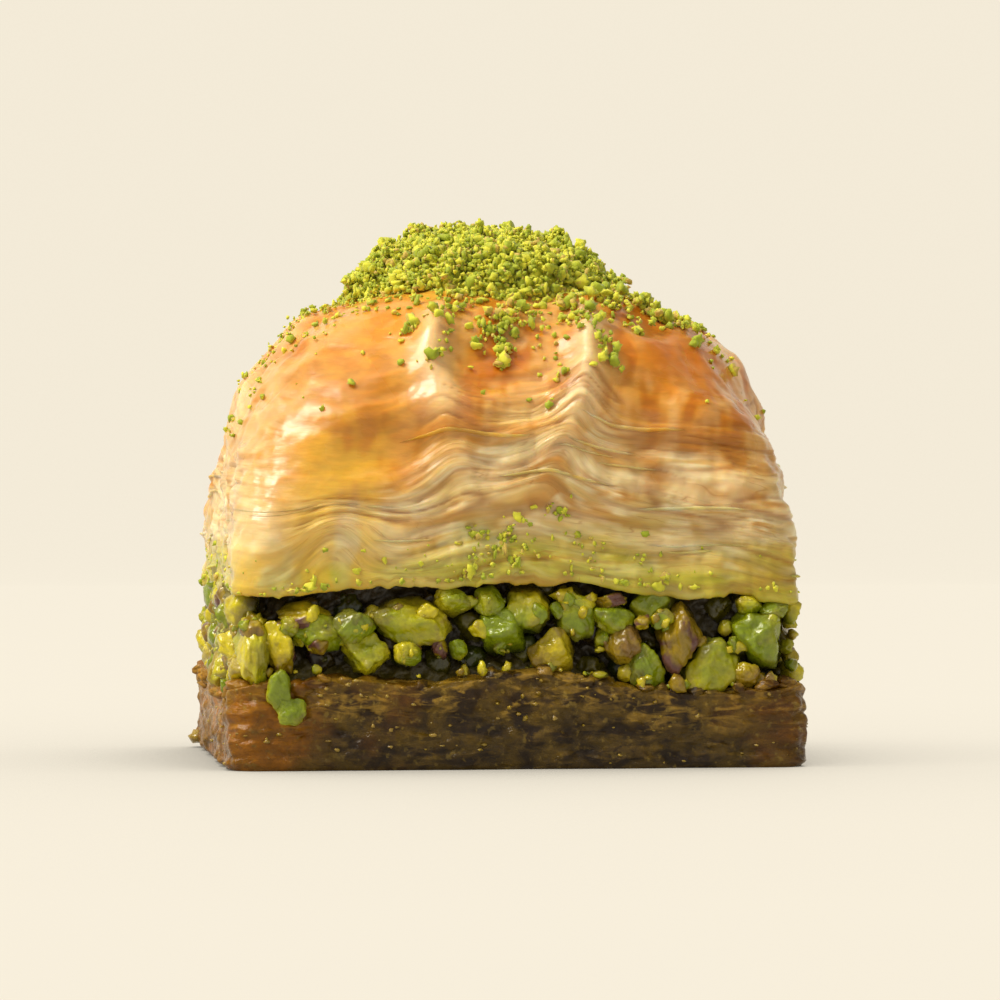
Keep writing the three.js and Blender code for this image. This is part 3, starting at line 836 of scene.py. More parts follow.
def sheet_grain(material, along, across, detail):
    """Noise drawn out along the sheets: its lumps are along millimetres long and across sheets high, by
    the attribute leaf, which counts the sheets."""
    apart = put(material, "ShaderNodeSeparateXYZ", {"Vector": coordinates(material)})
    x = times(material, apart.outputs["X"], 1 / (along * MM))
    y = times(material, apart.outputs["Y"], 1 / (along * MM))
    leaf = times(material, attribute(material, "leaf"), 1 / across)
    vector = put(material, "ShaderNodeCombineXYZ", {"X": x, "Y": y, "Z": leaf}).outputs[0]
    sockets = {"Vector": vector, "Scale": 1.0, "Detail": detail}
    return put(material, "ShaderNodeTexNoise", sockets).outputs[0]


def mixed_value(material, factor, first, second):
    """Two numbers mixed by a factor."""
    sockets = {0: factor, 2: first, 3: second}
    return put(material, "ShaderNodeMix", sockets, data_type="FLOAT").outputs[0]


def thin_lines(material, value, width):
    """1 where a noise value passes its middle, falling to 0 within the width on both sides."""
    off = maths(material, "ABSOLUTE", maths(material, "SUBTRACT", value, 0.5))
    return spread(material, off, 0.0, width, 1.0, 0.0)


def pastry_finish():
    """Thin syrupy sheets, nut-stained at the lower edge and pale above it, under a glazed crust that is
    gold with amber windows. Attributes: baked is 1 in the crust, cut is 1 where sheet edges show, leaf
    counts the sheets, stain is 1 at the lower edge, seam_and_shade is 1 in the syrupy seams and in the
    painted shade under the laps, film is 1 where a sheet is milky, partly as painted sheen and
    highlight, tone is the sheet's own shade, window is 1 where the crust is clear amber, ridge_highlight
    is 1 on the folds' painted highlight, and syrup is 1 where the sheets are made yellower."""
    shade = colours()
    material, shader = finish_of(
        "flaky_pastry",
        subsurface_weight=0.5,
        subsurface_radius=(1.0, 0.6, 0.25),
        subsurface_scale=0.002,
        specular_ior_level=0.3,
        coat_roughness=0.3,
        coat_ior=1.36,
    )
    names = ("baked", "cut", "stain", "seam_and_shade", "film", "tone", "window", "ridge_highlight", "syrup")
    look = {name: attribute(material, name) for name in names}
    baked, cut, stain = look["baked"], look["cut"], look["stain"]
    bands, lines = sheet_grain(material, 4.0, 2.4, 1.0), sheet_grain(material, 5.0, 1.1, 1.0)
    patch = grain(material, 4.5, 2.0, (1, 1, 1.6))
    broad = grain(material, 7.0, 3.0, (1, 1, 1.3), 0.6)

    # The cut sheets: pale and golden, with creamy patches, and stained low down.
    higher = spread(material, millimetres(material, "Z"), 15, 24, 0.3, 1.0)
    golden = times(material, spread(material, bands, 0.4, 0.62), higher)
    tint = blend(material, golden, shade.sheet_pale, shade.sheet_gold)
    cream = times(material, spread(material, patch, 0.46, 0.6), spread(material, lines, 0.4, 0.58))
    tint = blend(material, times(material, cream, 0.9), tint, shade.sheet_white_and_sheen)
    stained = times(material, stain, spread(material, patch, 0.3, 0.6, 1.0, 0.7))
    tint = blend(material, stained, tint, shade.sheet_edge)

    # The crust over them, then the films with their painted sheen and highlights, the yellower sheets
    # left of the front, and the painted highlights on the folds.
    amber = maths(material, "MAXIMUM", spread(material, broad, 0.48, 0.66, 0.0, 0.6), look["window"])
    crusty = blend(material, amber, shade.crust_gold, shade.crust_amber)
    tint = blend(material, baked, tint, crusty)
    tint = brightened(material, tint, 0.82, 1.12, look["tone"])
    film = times(material, look["film"], spread(material, baked, 0, 1, 0.5, 0.62))
    film = times(material, film, spread(material, stain, 0, 1, 1.0, 0.3))
    milky = blend(material, baked, shade.sheet_white_and_sheen, shade.milky_film_and_highlight)
    tint = blend(material, film, tint, milky)
    tint = blend(material, times(material, look["syrup"], 0.6), tint, shade.sheet_left_yellow)
    tint = blend(material, times(material, look["ridge_highlight"], 0.8), tint, shade.sheet_white_and_sheen)

    # Brown seams, partly syrup and partly painted shade under the laps, and fine lines between the
    # sheets, and their fine threads.
    gate = times(material, cut, spread(material, patch, 0.4, 0.56, 0.4, 0.05))
    thin = times(material, thin_lines(material, lines, 0.022), gate)
    seam_and_shade = maths(material, "MAXIMUM", times(material, look["seam_and_shade"], 0.7), thin)
    tint = blend(material, seam_and_shade, tint, shade.seam_and_shade_brown)
    threads = sheet_grain(material, 2.6, 0.42, 2.0)
    fine = mixed_value(material, cut, grain(material, 0.8, 2.0, (0.5, 0.5, 1.6)), threads)
    tint = brightened(material, tint, 0.84, 1.13, fine)
    wire(material, tint, shader.inputs["Base Color"])

    wire(material, spread(material, broad, 0.35, 0.65, 0.24, 0.42), shader.inputs["Roughness"])
    coat = spread(material, baked, 0, 1, 0.35, 1.0)
    coat = times(material, coat, spread(material, broad, 0.4, 0.7, 0.75, 0.35))
    coat = times(material, coat, spread(material, look["ridge_highlight"], 0, 1, 1.0, 0.4))
    coat = times(material, coat, spread(material, look["window"], 0, 1, 1.0, 0.5))
    wire(material, coat, shader.inputs["Coat Weight"])
    relief(material, shader, (patch, 0.08), (times(material, lines, cut), 0.16), (fine, 0.06))
    return material


def base_finish():
    """Dense sheets full of syrup: dark and wet, amber where light goes through the ends, with pale wet
    layers and a dusting of nut on the left cut."""
    shade = colours()
    material, shader = finish_of(
        "soaked_base",
        subsurface_weight=0.12,
        subsurface_radius=(0.8, 0.6, 0.15),
        subsurface_scale=0.002,
        specular_ior_level=0.25,
        coat_weight=0.1,
        coat_roughness=0.14,
        coat_ior=1.33,
    )
    layers = grain(material, 1.0, 4.0, (0.4, 0.4, 1.4), 0.8)
    cloud = grain(material, 2.2, 3.0, (0.8, 0.8, 1.2), 0.5)
    uneven = spread(material, grain(material, 3.0), 0.3, 0.7, -1.5, 1.5)
    height = maths(material, "ADD", millimetres(material, "Z"), uneven)
    upper = spread(material, height, 1.5, 6.5, 0.0, 1.0)
    tint = blend(material, spread(material, cloud, 0.4, 0.64), shade.base_dark, shade.base_brown)
    wet = times(material, spread(material, layers, 0.48, 0.62), spread(material, upper, 0, 1, 0.3, 0.9))
    tint = blend(material, wet, tint, shade.base_wet)

    # Amber ends, a painted glow of the light going through them: the left third and, more weakly, the
    # right end, both with uneven borders.
    across = millimetres(material, "X")
    uneven = spread(material, grain(material, 6.0, 2.0), 0.3, 0.7, -4.0, 4.0)
    shifted = maths(material, "ADD", across, uneven)
    left = spread(material, shifted, -21.0, -9.0, 1.0, 0.0)
    right = spread(material, shifted, 16.0, 24.5, 0.0, 0.4)
    amber = times(material, maths(material, "MAXIMUM", left, right), 0.9)
    amber = times(material, amber, spread(material, cloud, 0.35, 0.6, 1.0, 0.5))
    amber = times(material, amber, spread(material, upper, 0, 1, 1.0, 0.6))
    tint = blend(material, amber, tint, shade.base_amber)

    left_face = spread(material, across, -22.9, -22.4, 1.0, 0.0)
    tint = blend(material, times(material, left_face, 0.3), tint, shade.base_grain)
    pale = times(material, spread(material, grain(material, 0.7, 3.0), 0.58, 0.7), 0.5)
    tint = blend(material, pale, tint, shade.base_grain)
    fine = grain(material, 0.4, 3.0, (0.8, 0.8, 1.2))
    tint = brightened(material, tint, 0.6, 1.25, fine)
    tint = brightened(material, tint, 0.62, 1.1, upper)
    wire(material, tint, shader.inputs["Base Color"])
    cloudy = spread(material, cloud, 0.3, 0.7, 0.4, 0.2)
    rough = maths(material, "MAXIMUM", times(material, left_face, 0.75), cloudy)
    wire(material, rough, shader.inputs["Roughness"])
    relief(material, shader, (layers, 0.2), (fine, 0.1))
    return material


def kernel_finish(name, flesh, other, skinned):
    """Pistachio flesh in two colours that mix within one piece and from piece to piece, with brown skin
    of the strength skinned where the piece isn't cut. What lies deep behind the cut is darkened as
    painted shade of the gaps. Attributes: tone is the piece's own shade, skin is 1 on the kernel's
    outside, and deep is 1 at 3 mm behind the cut."""
    shade = colours()
    material, shader = finish_of(
        name,
        subsurface_weight=0.2,
        subsurface_radius=(0.9, 1.0, 0.25),
        subsurface_scale=0.0009,
        specular_ior_level=0.4,
        coat_weight=0.45,
        coat_roughness=0.16,
        coat_ior=1.4,
    )
    tone = attribute(material, "tone")
    soft = grain(material, 1.5, 2.0, (1, 1, 1), 0.4)
    mixed = maths(material, "ADD", times(material, tone, 0.75), times(material, soft, 0.5))
    tint = blend(material, spread(material, mixed, 0.3, 1.05), flesh, other)
    skin = spread(material, attribute(material, "skin"), 0.35, 0.75)
    rubbed = spread(material, grain(material, 1.9, 3.0), 0.42, 0.56)
    skin = times(material, times(material, skin, rubbed), skinned)
    tint = blend(material, skin, tint, shade.nut_skin)
    fine = grain(material, 0.5, 3.0)
    tint = brightened(material, tint, 0.68, 1.16, fine)
    # Painted shade: deep behind the cut the flesh falls to about a ninth of its brightness.
    deep = spread(material, attribute(material, "deep"), 0.1, 0.9, 1.0, 0.0)
    tint = brightened(material, tint, 0.11, 1.1, deep)
    wire(material, tint, shader.inputs["Base Color"])
    wire(material, spread(material, soft, 0.3, 0.7, 0.18, 0.4), shader.inputs["Roughness"])
    relief(material, shader, (soft, 0.16), (fine, 0.1))
    return material


def paste_finish():
    """Soaked nut paste: dark deep down, partly from syrup and partly as painted shade of the gaps, and
    pale green near the cut, where the attribute near is 1.
    """
    shade = colours()
    material, shader = finish_of("nut_paste", coat_weight=0.3, coat_roughness=0.2, coat_ior=1.45)
    near = attribute(material, "near")
    tint = blend(material, near, shade.paste_in_shade, shade.nut_paste)
    fine = grain(material, 0.7, 4.0)
    tint = brightened(material, tint, 0.55, 1.25, fine)
    wire(material, tint, shader.inputs["Base Color"])
    wire(material, spread(material, fine, 0.3, 0.7, 0.35, 0.7), shader.inputs["Roughness"])
    relief(material, shader, (fine, 0.3))
    return material


def ground_finish(name, light, dark):
    """Finely ground pistachio, dry and soft, each crumb with its own tone, a few toasted yellow."""
    material, shader = finish_of(
        name,
        subsurface_weight=0.2,
        subsurface_radius=(0.8, 1.0, 0.25),
        subsurface_scale=0.0006,
        specular_ior_level=0.3,
        sheen_weight=0.15,
        sheen_roughness=0.5,
    )
    tone = attribute(material, "tone")
    tint = blend(material, spread(material, tone, 0.1, 0.85), dark, light)
    toasted = spread(material, tone, 0.94, 0.97)
    tint = blend(material, toasted, tint, colours().ground_toasted)
    fine = grain(material, 0.4, 3.0)
    tint = brightened(material, tint, 0.84, 1.12, fine)
    wire(material, tint, shader.inputs["Base Color"])
    wire(material, spread(material, fine, 0.3, 0.7, 0.55, 0.8), shader.inputs["Roughness"])
    relief(material, shader, (fine, 0.08))
    return material


# Pieces


def base_relief(turn, share):
    """How far the base's cut stands in mm: uneven values whose rows are its thin layers, coarse and
    fine. The foot draws in a little and the top edge rounds over."""
    layer = drift(turn, share * 8 + 0.6 * drift(turn, 0.5, 9, 41), 40, 42)
    fine = drift(turn, share * 21 + drift(turn, 2.5, 15, 43), 110, 44)
    swollen = drift(turn, share * 2.5, 26, 48)
    foot = 0.35 * (1 - smooth(share, 0, 0.08)) * (1 + 0.5 * drift(turn, 6.5, 50, 49))
    return -0.12 + 0.14 * layer + 0.09 * fine + 0.14 * swollen - foot - 0.9 * smooth(share, 0.9, 1) ** 2


def base_side(turn, share, stand):
    """A point of the base's cut: the outline moved out by stand, at a share of the edge's height."""
    x, y, _, _ = cut_outline(turn, -stand, sizes().base_corner / MM)
    uneven = 0.5 * drift(turn, 1.5, 44, 50) + 0.35 * drift(turn, 2.5, 120, 50)
    z = (base_edge(turn) + uneven) * share - 0.15 * smooth(share, 0.9, 1)
    return np.stack(np.broadcast_arrays(x, y, z), -1)


def behind_cut(points):
    """How far points lie behind the nearest cut, from 0 to 1 over 3 mm."""
    across = sizes().piece_width / 2 / MM - np.abs(points[:, 0])
    along = sizes().piece_depth / 2 / MM - np.abs(points[:, 1])
    return np.clip(np.minimum(across, along) / 3, 0, 1)


class BuildSoakedBase(bpy.types.Operator):
    """Builds the syrup-soaked base: a slab with fine wavering layers on its four cuts"""

    bl_idname = "baklava.soaked_base"
    bl_label = "Soaked base"

    def execute(self, context):
        """The four cuts are base_side with base_relief and waves in space. The top closes in rings whose
        size falls to 0, and the foot is flat. Soft lumps are sunk into the top of the cuts."""
        size = context.scene.baklava_sizes
        turn = even_turns(1000)
        share = np.linspace(0, 1, 70)[:, None]
        side = base_side(turn, share, base_relief(turn, share))
        rough = (0.06 * lumps(side, 1.2, 45) + 0.08 * lumps(side, 3.5, 46)) * smooth(share, 0, 0.06)
        side[..., :2] *= 1 + rough[..., None] / np.linalg.norm(side[..., :2], axis=-1, keepdims=True)
        inwards = np.linspace(0.97, 0.1, 14)[:, None]
        top = side[-1:] * np.stack([inwards, inwards, np.ones_like(inwards)], -1)
        top[..., 2] = mix(size.base_height / MM, top[..., 2], inwards) + 0.12 * lumps(top, 2.5, 47)
        grid = np.concatenate([side, top])
        points, faces = closed_skin(grid, [0, 0, 0], [0, 0, size.base_height / MM])
        material, nodes, slot_name = base_finish(), ["phyllo_base"], "soaked_pastry"
        new_piece("soaked_base", points, faces, material, {}, nodes)
        random = np.random.default_rng(48)
        amount = size.base_lumps
        turn, half = random.uniform(0, 1, amount), random.uniform(0.35, 1.0, amount)
        share = random.uniform(0.88, 1.0, amount)
        x, y, z = base_side(turn, share, -0.85 * half).T
        halves = half[:, None] * random.uniform(0.8, 1.3, (amount, 3)) * [1.2, 1.0, 0.8]
        points, faces, _, _ = chopped(np.stack([x, y, z], -1), halves, 2, 49, 6, 6, rough=0.06)
        new_piece("base_edge_lumps", points, [faces], material, {}, nodes)
        return {"FINISHED"}


class BuildFilling(bpy.types.Operator):
    """Builds the bed of chopped pistachios over a dark core of soaked paste"""

    bl_idname = "baklava.filling"
    bl_label = "Chopped pistachios"

    def execute(self, context):
        """Core first, then the nuts of the front, the sides and the gaps, one piece for each place and
        kind, then the bits, and the specks in the base's cuts."""
        size, shade = context.scene.baklava_sizes, context.scene.baklava_colours
        self.core(size)
        kinds = {
            "green": kernel_finish("green_kernels", shade.nut_green, shade.nut_yellow, 0.4),
            "yellow": kernel_finish("yellow_kernels", shade.nut_yellow, shade.nut_green, 0.3),
            "olive": kernel_finish("olive_kernels", shade.nut_olive, shade.nut_yellow, 0.5),
            "skinned": kernel_finish("skinned_kernels", shade.nut_olive, shade.nut_yellow, 1.0),
        }
        front, side = self.front_nuts(size), self.side_nuts(size)
        nuts, halves = (np.concatenate([front[i], side[i]]) for i in (0, 1))
        filler = self.filler_nuts(size, nuts, halves)
        for where, level, found in (("front", 4, front), ("side", 3, side), ("filler", 2, filler)):
            centres, own_halves, names = found
            for order, (kind, material) in enumerate(kinds.items()):
                mine = np.array(names) == kind
                made = chopped(centres[mine], own_halves[mine], level, 60 + 5 * order, 8, 12)
                self.add(f"{where}_{kind}_nuts", made, material)
        random = np.random.default_rng(73)
        self.bits(size, kinds, nuts, halves, random)
        self.specks(size, shade, random)
        return {"FINISHED"}

    def add(self, name, made, material, nodes=("pistachio_filling",)):
        """Adds chopped pieces, with how deep each point lies behind the cut."""
        points, faces, skin, tone = made
        looks = {"skin": skin, "tone": tone, "deep": behind_cut(points)}
        new_piece(name, points, [faces], material, looks, nodes)

    def core(self, size):
        """Paste between base and dome: the outline moved in by an uneven depth, deep in the front, near
        the cut on the left, and between the two elsewhere, with coarse and fine waves on its side."""
        turn = even_turns(700)
        share = np.linspace(0, 1, 40)[:, None]
        near = 0.85 * bell(turn - LEFT_CUT, 0.11, 4) + 0.25 * drift(turn, share * 2, 12, 51)
        near = near + 0.55 * smooth(np.abs(away_from(turn, 0)), 0.13, 0.2)
        near = near + 0.4 * (1 - smooth(share, 0.0, 0.3))
        near = np.clip(near - 0.5 * smooth(share, 0.7, 0.95), 0, 1)
        inset = mix(3.0, 0.95, near) + 0.25 * drift(turn, share * 5, 60, 52)
        x, y, out_x, out_y = cut_outline(turn, inset, INNER_CORNER)
        z = mix(base_edge(turn) - 1.0, dome_edge(turn) + 0.3, share)
        side = np.stack(np.broadcast_arrays(x, y, z), -1)
        rough = 0.2 * lumps(side, 1.6, 53) + 0.12 * lumps(side, 0.7, 54)
        side[..., 0] += out_x * rough
        side[..., 1] += out_y * rough
        low_end, high_end = [0, 0, size.base_height / MM - 1.0], [0, 0, size.filling_top / MM + 0.9]
        points, faces = closed_skin(side, low_end, high_end)
        near = np.concatenate([np.broadcast_to(near, side.shape[:2]).ravel(), [0, 0]])
        nodes, slot_name = ["pistachio_filling"], "chopped_pistachio"
        new_piece("nut_paste", points, faces, paste_finish(), {"near": near}, nodes)

    def front_nuts(self, size):
        """Places of the nuts at the front cut: each stands back by most of its half depth, the upper
        ones further, so that the dome's edge shades them. What has slipped down hangs over the base."""
        random = np.random.default_rng(71)
        x, z, wide, high = np.array([nut[:4] for nut in FRONT_NUTS]).T
        front = -size.piece_depth / 2 / MM
        deep = np.sqrt(wide * high) * random.uniform(0.8, 1.05, len(x)) / 2
        y = front + deep + 0.1 + 0.5 * smooth(z, 10.5, 13)
        hanging = z < SLIPPED_BELOW
        y = np.where(hanging, front - 0.35, y)
        deep = np.where(hanging, 0.8, deep)
        halves = np.stack([wide / 2, deep, high / 2], -1) * 1.2
        return np.stack([x, y, z], -1), halves, [nut[4] for nut in FRONT_NUTS]

    def side_nuts(self, size):
        """Rows of nuts along the other three cuts, and behind the front ones: even steps round the
        outline with random shifts. Small nuts then fill the gaps of the front cut."""
        random = np.random.default_rng(72)
        centres, halves, names = [], [], []
        for row in range(size.nut_rows):
            steps = (np.arange(size.nuts_a_row) + 0.5 * (row % 2)) / size.nuts_a_row
            turn = steps + random.uniform(-0.35, 0.35, len(steps)) / size.nuts_a_row
            half = random.uniform(0.95, 1.85, len(steps))
            front = np.abs(away_from(turn, 0)) < FRONT_STRETCH
            half = half * np.where(np.abs(away_from(turn, LEFT_CUT)) < 0.1, 0.95, 1)
            inset = half * random.uniform(0.85, 1.15, len(steps)) + np.where(front, 1.9, 0.1)
            x, y, _, _ = cut_outline(turn, inset, size.base_corner / MM)
            up = (row + 0.5) / size.nut_rows + random.uniform(-0.1, 0.1, len(steps))
            low, high = base_edge(turn) + 0.45 * half, dome_edge(turn) - 0.75 * half
            centres.append(np.stack([x, y, mix(low, high, np.clip(up * 1.3 - 0.15, 0, 1))], -1))
            halves.append(half[:, None] * random.uniform(0.8, 1.2, (len(steps), 3)))
            names += random.choice(NUT_KINDS, len(steps), p=NUT_SHARES).tolist()
        amount = size.gap_nuts
        steps = (np.arange(amount) + random.uniform(0, 1, amount)) / amount
        turn, half = 2 * FRONT_STRETCH * (steps - 0.5), random.uniform(0.5, 1.0, amount)
        x, y, _, _ = cut_outline(turn, 1.1, INNER_CORNER)
        y = y + random.uniform(-0.5, 0.7, amount)
        up = random.uniform(0.05, 0.9, amount)
        centres.append(np.stack([x, y, mix(base_edge(turn) + 0.3, dome_edge(turn) - 0.8, up)], -1))
        halves.append(half[:, None] * random.uniform(0.8, 1.3, (amount, 3)))
        names += random.choice(NUT_KINDS, amount, p=NUT_SHARES).tolist()
        return np.concatenate(centres), np.concatenate(halves), names

    def filler_nuts(self, size, nuts, nut_halves):
        """Small nuts in the widest gaps of the right, back and left cuts. Of a shaken grid of places,
        those with most room to the nearest nut are taken, and each nut is as large as its room."""
        random = np.random.default_rng(77)
        columns = np.linspace(FRONT_STRETCH, 1 - FRONT_STRETCH, 64)
        turn, up = np.meshgrid(columns, np.linspace(0.06, 0.94, 5))
        turn = turn.ravel() + random.uniform(-0.005, 0.005, turn.size)
        up = up.ravel() + random.uniform(-0.08, 0.08, up.size)
        x, y, _, _ = cut_outline(turn, 1.0, INNER_CORNER)
        spots = np.stack([x, y, mix(base_edge(turn) + 0.5, dome_edge(turn) - 0.9, up)], -1)
        room = (np.linalg.norm(spots[:, None] - nuts[None], axis=-1) - nut_halves.mean(-1)).min(-1)
        best = np.argsort(-room)[: size.filler_nuts]
        half = np.clip(1.2 * room[best] + 0.15, 0.6, 1.3)
        halves = half[:, None] * random.uniform(0.8, 1.3, (len(best), 3))
        return spots[best], halves, random.choice(NUT_KINDS, len(best), p=NUT_SHARES).tolist()

    def bits(self, size, kinds, nuts, nut_halves, random):
        """Fine bits: half of them cling to random nuts, but not to what has slipped down, a quarter lie
        on the base's top, and a quarter stick in the paste on the left."""
        amount = size.nut_bits
        half = mix(0.15, 0.62, random.uniform(0, 1, amount) ** 2.2)
        where, turn = random.uniform(0, 1, amount), random.uniform(0, 1, amount)
        picked = random.integers(0, len(nuts), amount)
        picked = np.where(nuts[picked, 2] < SLIPPED_BELOW, picked + 2, picked)
        way = random.normal(size=(amount, 3))
        way /= np.linalg.norm(way, axis=1, keepdims=True)
        clinging = nuts[picked] + way * nut_halves[picked] * 0.8
        on_base = where < 0.75
        turn = np.where(on_base, turn, random.uniform(0.65, 0.85, amount))
        inset = np.where(on_base, random.uniform(0.3, 2.2, amount), random.uniform(0.9, 1.3, amount))
        x, y, _, _ = cut_outline(turn, inset, size.base_corner / MM)
        up = np.where(on_base, 0.02, random.uniform(0, 0.9, amount))
        z = mix(base_edge(turn) - 0.1 + 0.4 * half, dome_edge(turn) - 0.4, up)
        centres = np.where(where[:, None] < 0.5, clinging, np.stack([x, y, z], -1))
        halves = half[:, None] * random.uniform(0.6, 1.5, (amount, 3))
        order = np.arange(amount) % 3
        for i, kind in enumerate(("yellow", "green", "olive")):
            made = chopped(centres[order == i], halves[order == i], 1, 74 + i, 5, 12, rough=0.15)
            self.add(f"{kind}_bits", made, kinds[kind])

    def specks(self, size, shade, random):
        """Specks of nut sunk into the base's cuts, denser near its top. One in ten is put on the left
        cut, where all are smaller. The first is the lump at the foot of the left cut, near the back."""
        amount = size.base_specks
        turn, share = random.uniform(0, 1, amount), random.uniform(0, 1, amount) ** 0.7
        on_left = np.arange(amount) % 10 == 0
        turn = np.where(on_left, random.uniform(0.62, 0.88, amount), turn)
        half = mix(0.07, 0.26, random.uniform(0, 1, amount) ** 2)
        half = half * np.where(np.abs(away_from(turn, LEFT_CUT)) < 0.12, 0.65, 1)
        x, y, z = base_side(turn, share, base_relief(turn, share) - 0.3 * half).T
        halves = half[:, None] * random.uniform(0.6, 1.4, (amount, 3)) * [1.3, 1.3, 0.8]
        centres = np.stack([x, y, np.maximum(z, 0.45)], -1)
        centres[0] = [-size.piece_width / 2 / MM + 0.1, size.piece_depth / 2 / MM - 2.4, 0.95]
        halves[0] = [0.9, 1.0, 0.6]
        made = chopped(centres, halves, 1, 79, 5, 12, rough=0.12)
        dull = kernel_finish("soaked_specks", shade.base_grain, shade.nut_olive, 0.3)
        self.add("base_specks", made, dull, ("phyllo_base",))


class BuildDome(bpy.types.Operator):
    """Builds the flaky dome: sheets under a glazed crust, and the sheet ends that peel out"""

    bl_idname = "baklava.dome"
    bl_label = "Flaky dome"

    def execute(self, context):
        """The stack and the sheet ends share one finish."""
        size = context.scene.baklava_sizes
        material = pastry_finish()
        self.stack(size, material)
        self.flaps(size, material)
        return {"FINISHED"}

    def add(self, name, points, faces, material, looks):
        """Adds a piece of the dome."""
        new_piece(name, points, faces, material, looks, ["phyllo_dome"])

    def stack(self, size, material):
        """One closed skin: dome_point with the relief of the sheets. Its lower edge curls under in a
        quarter circle that dips unevenly, most of all at the left corner, and runs on inside to the
        middle."""
        turn = even_turns(700)
        cut, crown = np.linspace(0, size.layered_share, 100), np.linspace(0, 1, 35)[1:] ** 0.95
        share = np.concatenate([cut, mix(size.layered_share, 0.997, crown)])[:, None]
        stand, looks = pastry_relief(turn, share)
        side = dome_point(turn, share, stand)
        angle = np.linspace(0, np.pi / 2, 7)[:-1, None]
        inner = stand[:1] - np.concatenate([[[3.4], [1.4]], 0.45 * (1 - np.sin(angle))])
        drop = np.concatenate([[[0.0], [0.3]], 0.4 * np.cos(angle)])
        under = dome_point(turn, np.zeros_like(inner), inner)
        under[..., 2] -= drop
        grid = np.concatenate([under, side])
        dip = 1 - smooth(grid[..., 2] - dome_edge(turn), 0, 1.2)
        torn = smooth(drift(turn, 3.3, 84, 20) + 0.45 * drift(turn, 5.3, 190, 20), -0.3, 0.5)
        amount = mix(0.4, 0.85, bell(turn - 1 - LEFT_CORNER, 0.08, 4))
        teeth = amount * (torn - 0.5) + 0.3 * drift(turn, 8.3, 31, 20)
        teeth = teeth + 0.1 * drift(turn, 7.3, 330, 20)
        grid[..., 2] -= dip * (0.15 + teeth)
        low_end = [0, 0, size.filling_top / MM + 0.6]
        points, faces = closed_skin(grid, low_end, [size.dome_lean / MM, 0, size.dome_top / MM])
        for key, values in looks.items():
            wide = np.broadcast_to(values, side.shape[:2])
            wide = np.concatenate([np.repeat(wide[:1], len(under), 0), wide])
            looks[key] = np.concatenate([wide.ravel(), [0, 0]])
        self.add("pastry_stack", points, faces, material, looks)

    def flaps(self, size, material):
        """Ends of single sheets that peel out, the first of them those of LONG_FLAPS. Each is a strip
        along the outline with a rounded section: how far it stands out goes with 1 - (2 * place along
        it)^4, so that it thins out at both ends, and it droops or rises towards its outer edge. The ends
        stand out less in the front, and least at its left corner."""
        random = np.random.default_rng(24)
        amount, along, around = size.flap_count, 48, 10
        middle = random.uniform(0, 1, amount)
        share = random.uniform(0.015, 0.5, amount)
        share = np.minimum(share, crust_lip(middle) - 0.06)
        long = random.uniform(0.02, 0.06, amount)
        reach = random.uniform(0.08, 0.3, amount) * np.where(np.abs(middle - 0.86) < 0.07, 0.25, 1)
        reach = reach * np.where(np.abs(away_from(middle, 0)) < 0.14, 0.6, 1)
        for i, flap in enumerate(LONG_FLAPS):
            middle[i], share[i], long[i], reach[i] = flap
        droop = random.uniform(-0.5, 1.0, amount)
        place = np.linspace(0.5, -0.5, along)[None, :, None]
        way = (np.arange(around) / around * TAU)[None, None, :]
        out = np.sign(np.cos(way)) * np.abs(np.cos(way)) ** 0.6
        up = np.sign(np.sin(way)) * np.abs(np.sin(way)) ** 0.8
        values = (middle, share, long, reach, droop)
        middle, share, long, reach, droop = (part[:, None, None] for part in values)
        taper = 1 - (2 * place) ** 4
        turn = middle + long * place
        fray = 1 + 0.35 * drift(turn, share * 90, 150, 25) + 0.25 * drift(turn, share * 70, 60, 26)
        leaf = share + 0.008 * drift(turn, share * 20, 40, 27)
        tall = (size.dome_top - size.filling_top) / MM
        level = leaf + (0.16 * taper + 0.03) * up * (1 - 0.6 * np.maximum(out, 0)) / tall
        level = level - droop * reach * taper * 0.8 * np.maximum(out, 0) ** 2 / tall
        level = np.clip(level, 0.004, 0.9)
        stand, looks = pastry_relief(turn, leaf)
        stand = stand + mix(-0.5, reach * taper * fray, (out + 1) / 2)
        points = dome_point(turn, level, stand)
        one = ring_quads(along, around)
        start = np.arange(amount)[:, None, None] * along * around
        caps = np.stack([np.arange(around)[::-1], (along - 1) * around + np.arange(around)])[None] + start
        faces = [(one[None] + start).reshape(-1, 4), caps.reshape(-1, around)]
        looks["seam_and_shade"] = looks["cut"] = np.zeros(1)
        looks["film"] = 0.6 * looks["film"]
        looks = {key: np.broadcast_to(values, points.shape[:3]).ravel() for key, values in looks.items()}
        self.add("peeling_sheets", points.reshape(-1, 3), faces, material, looks)


def heap_point(turn, share, size, stand=0.0):
    """A point of the heap: half a rounded ellipsoid, whose reach is sqrt(1 - share^HEAP_POWER), that
    leans to the left and has an uneven foot."""
    uneven = 0.1 * drift(turn, 0.5, 7, 81) + 0.05 * drift(turn, 1.5, 17, 82)
    reach = np.sqrt(np.maximum(1 - share**HEAP_POWER, 0)) * (1 + uneven)
    half_width, half_depth = size.mound_width / 2 / MM, size.mound_depth / 2 / MM
    x = 0.6 - 1.1 * share + np.cos(TAU * turn) * reach * (half_width + stand)
    y = 0.2 + np.sin(TAU * turn) * reach * (half_depth + stand)
    z = mix(size.dome_top / MM - 4, size.mound_top / MM + stand, share)
    return np.stack(np.broadcast_arrays(x, y, z), -1)


def outwards(points, size):
    """Directions from a place 14 mm under the crown's middle to the points."""
    out = points - [0, 0, size.dome_top / MM - 14]
    return out / np.linalg.norm(out, axis=-1, keepdims=True)


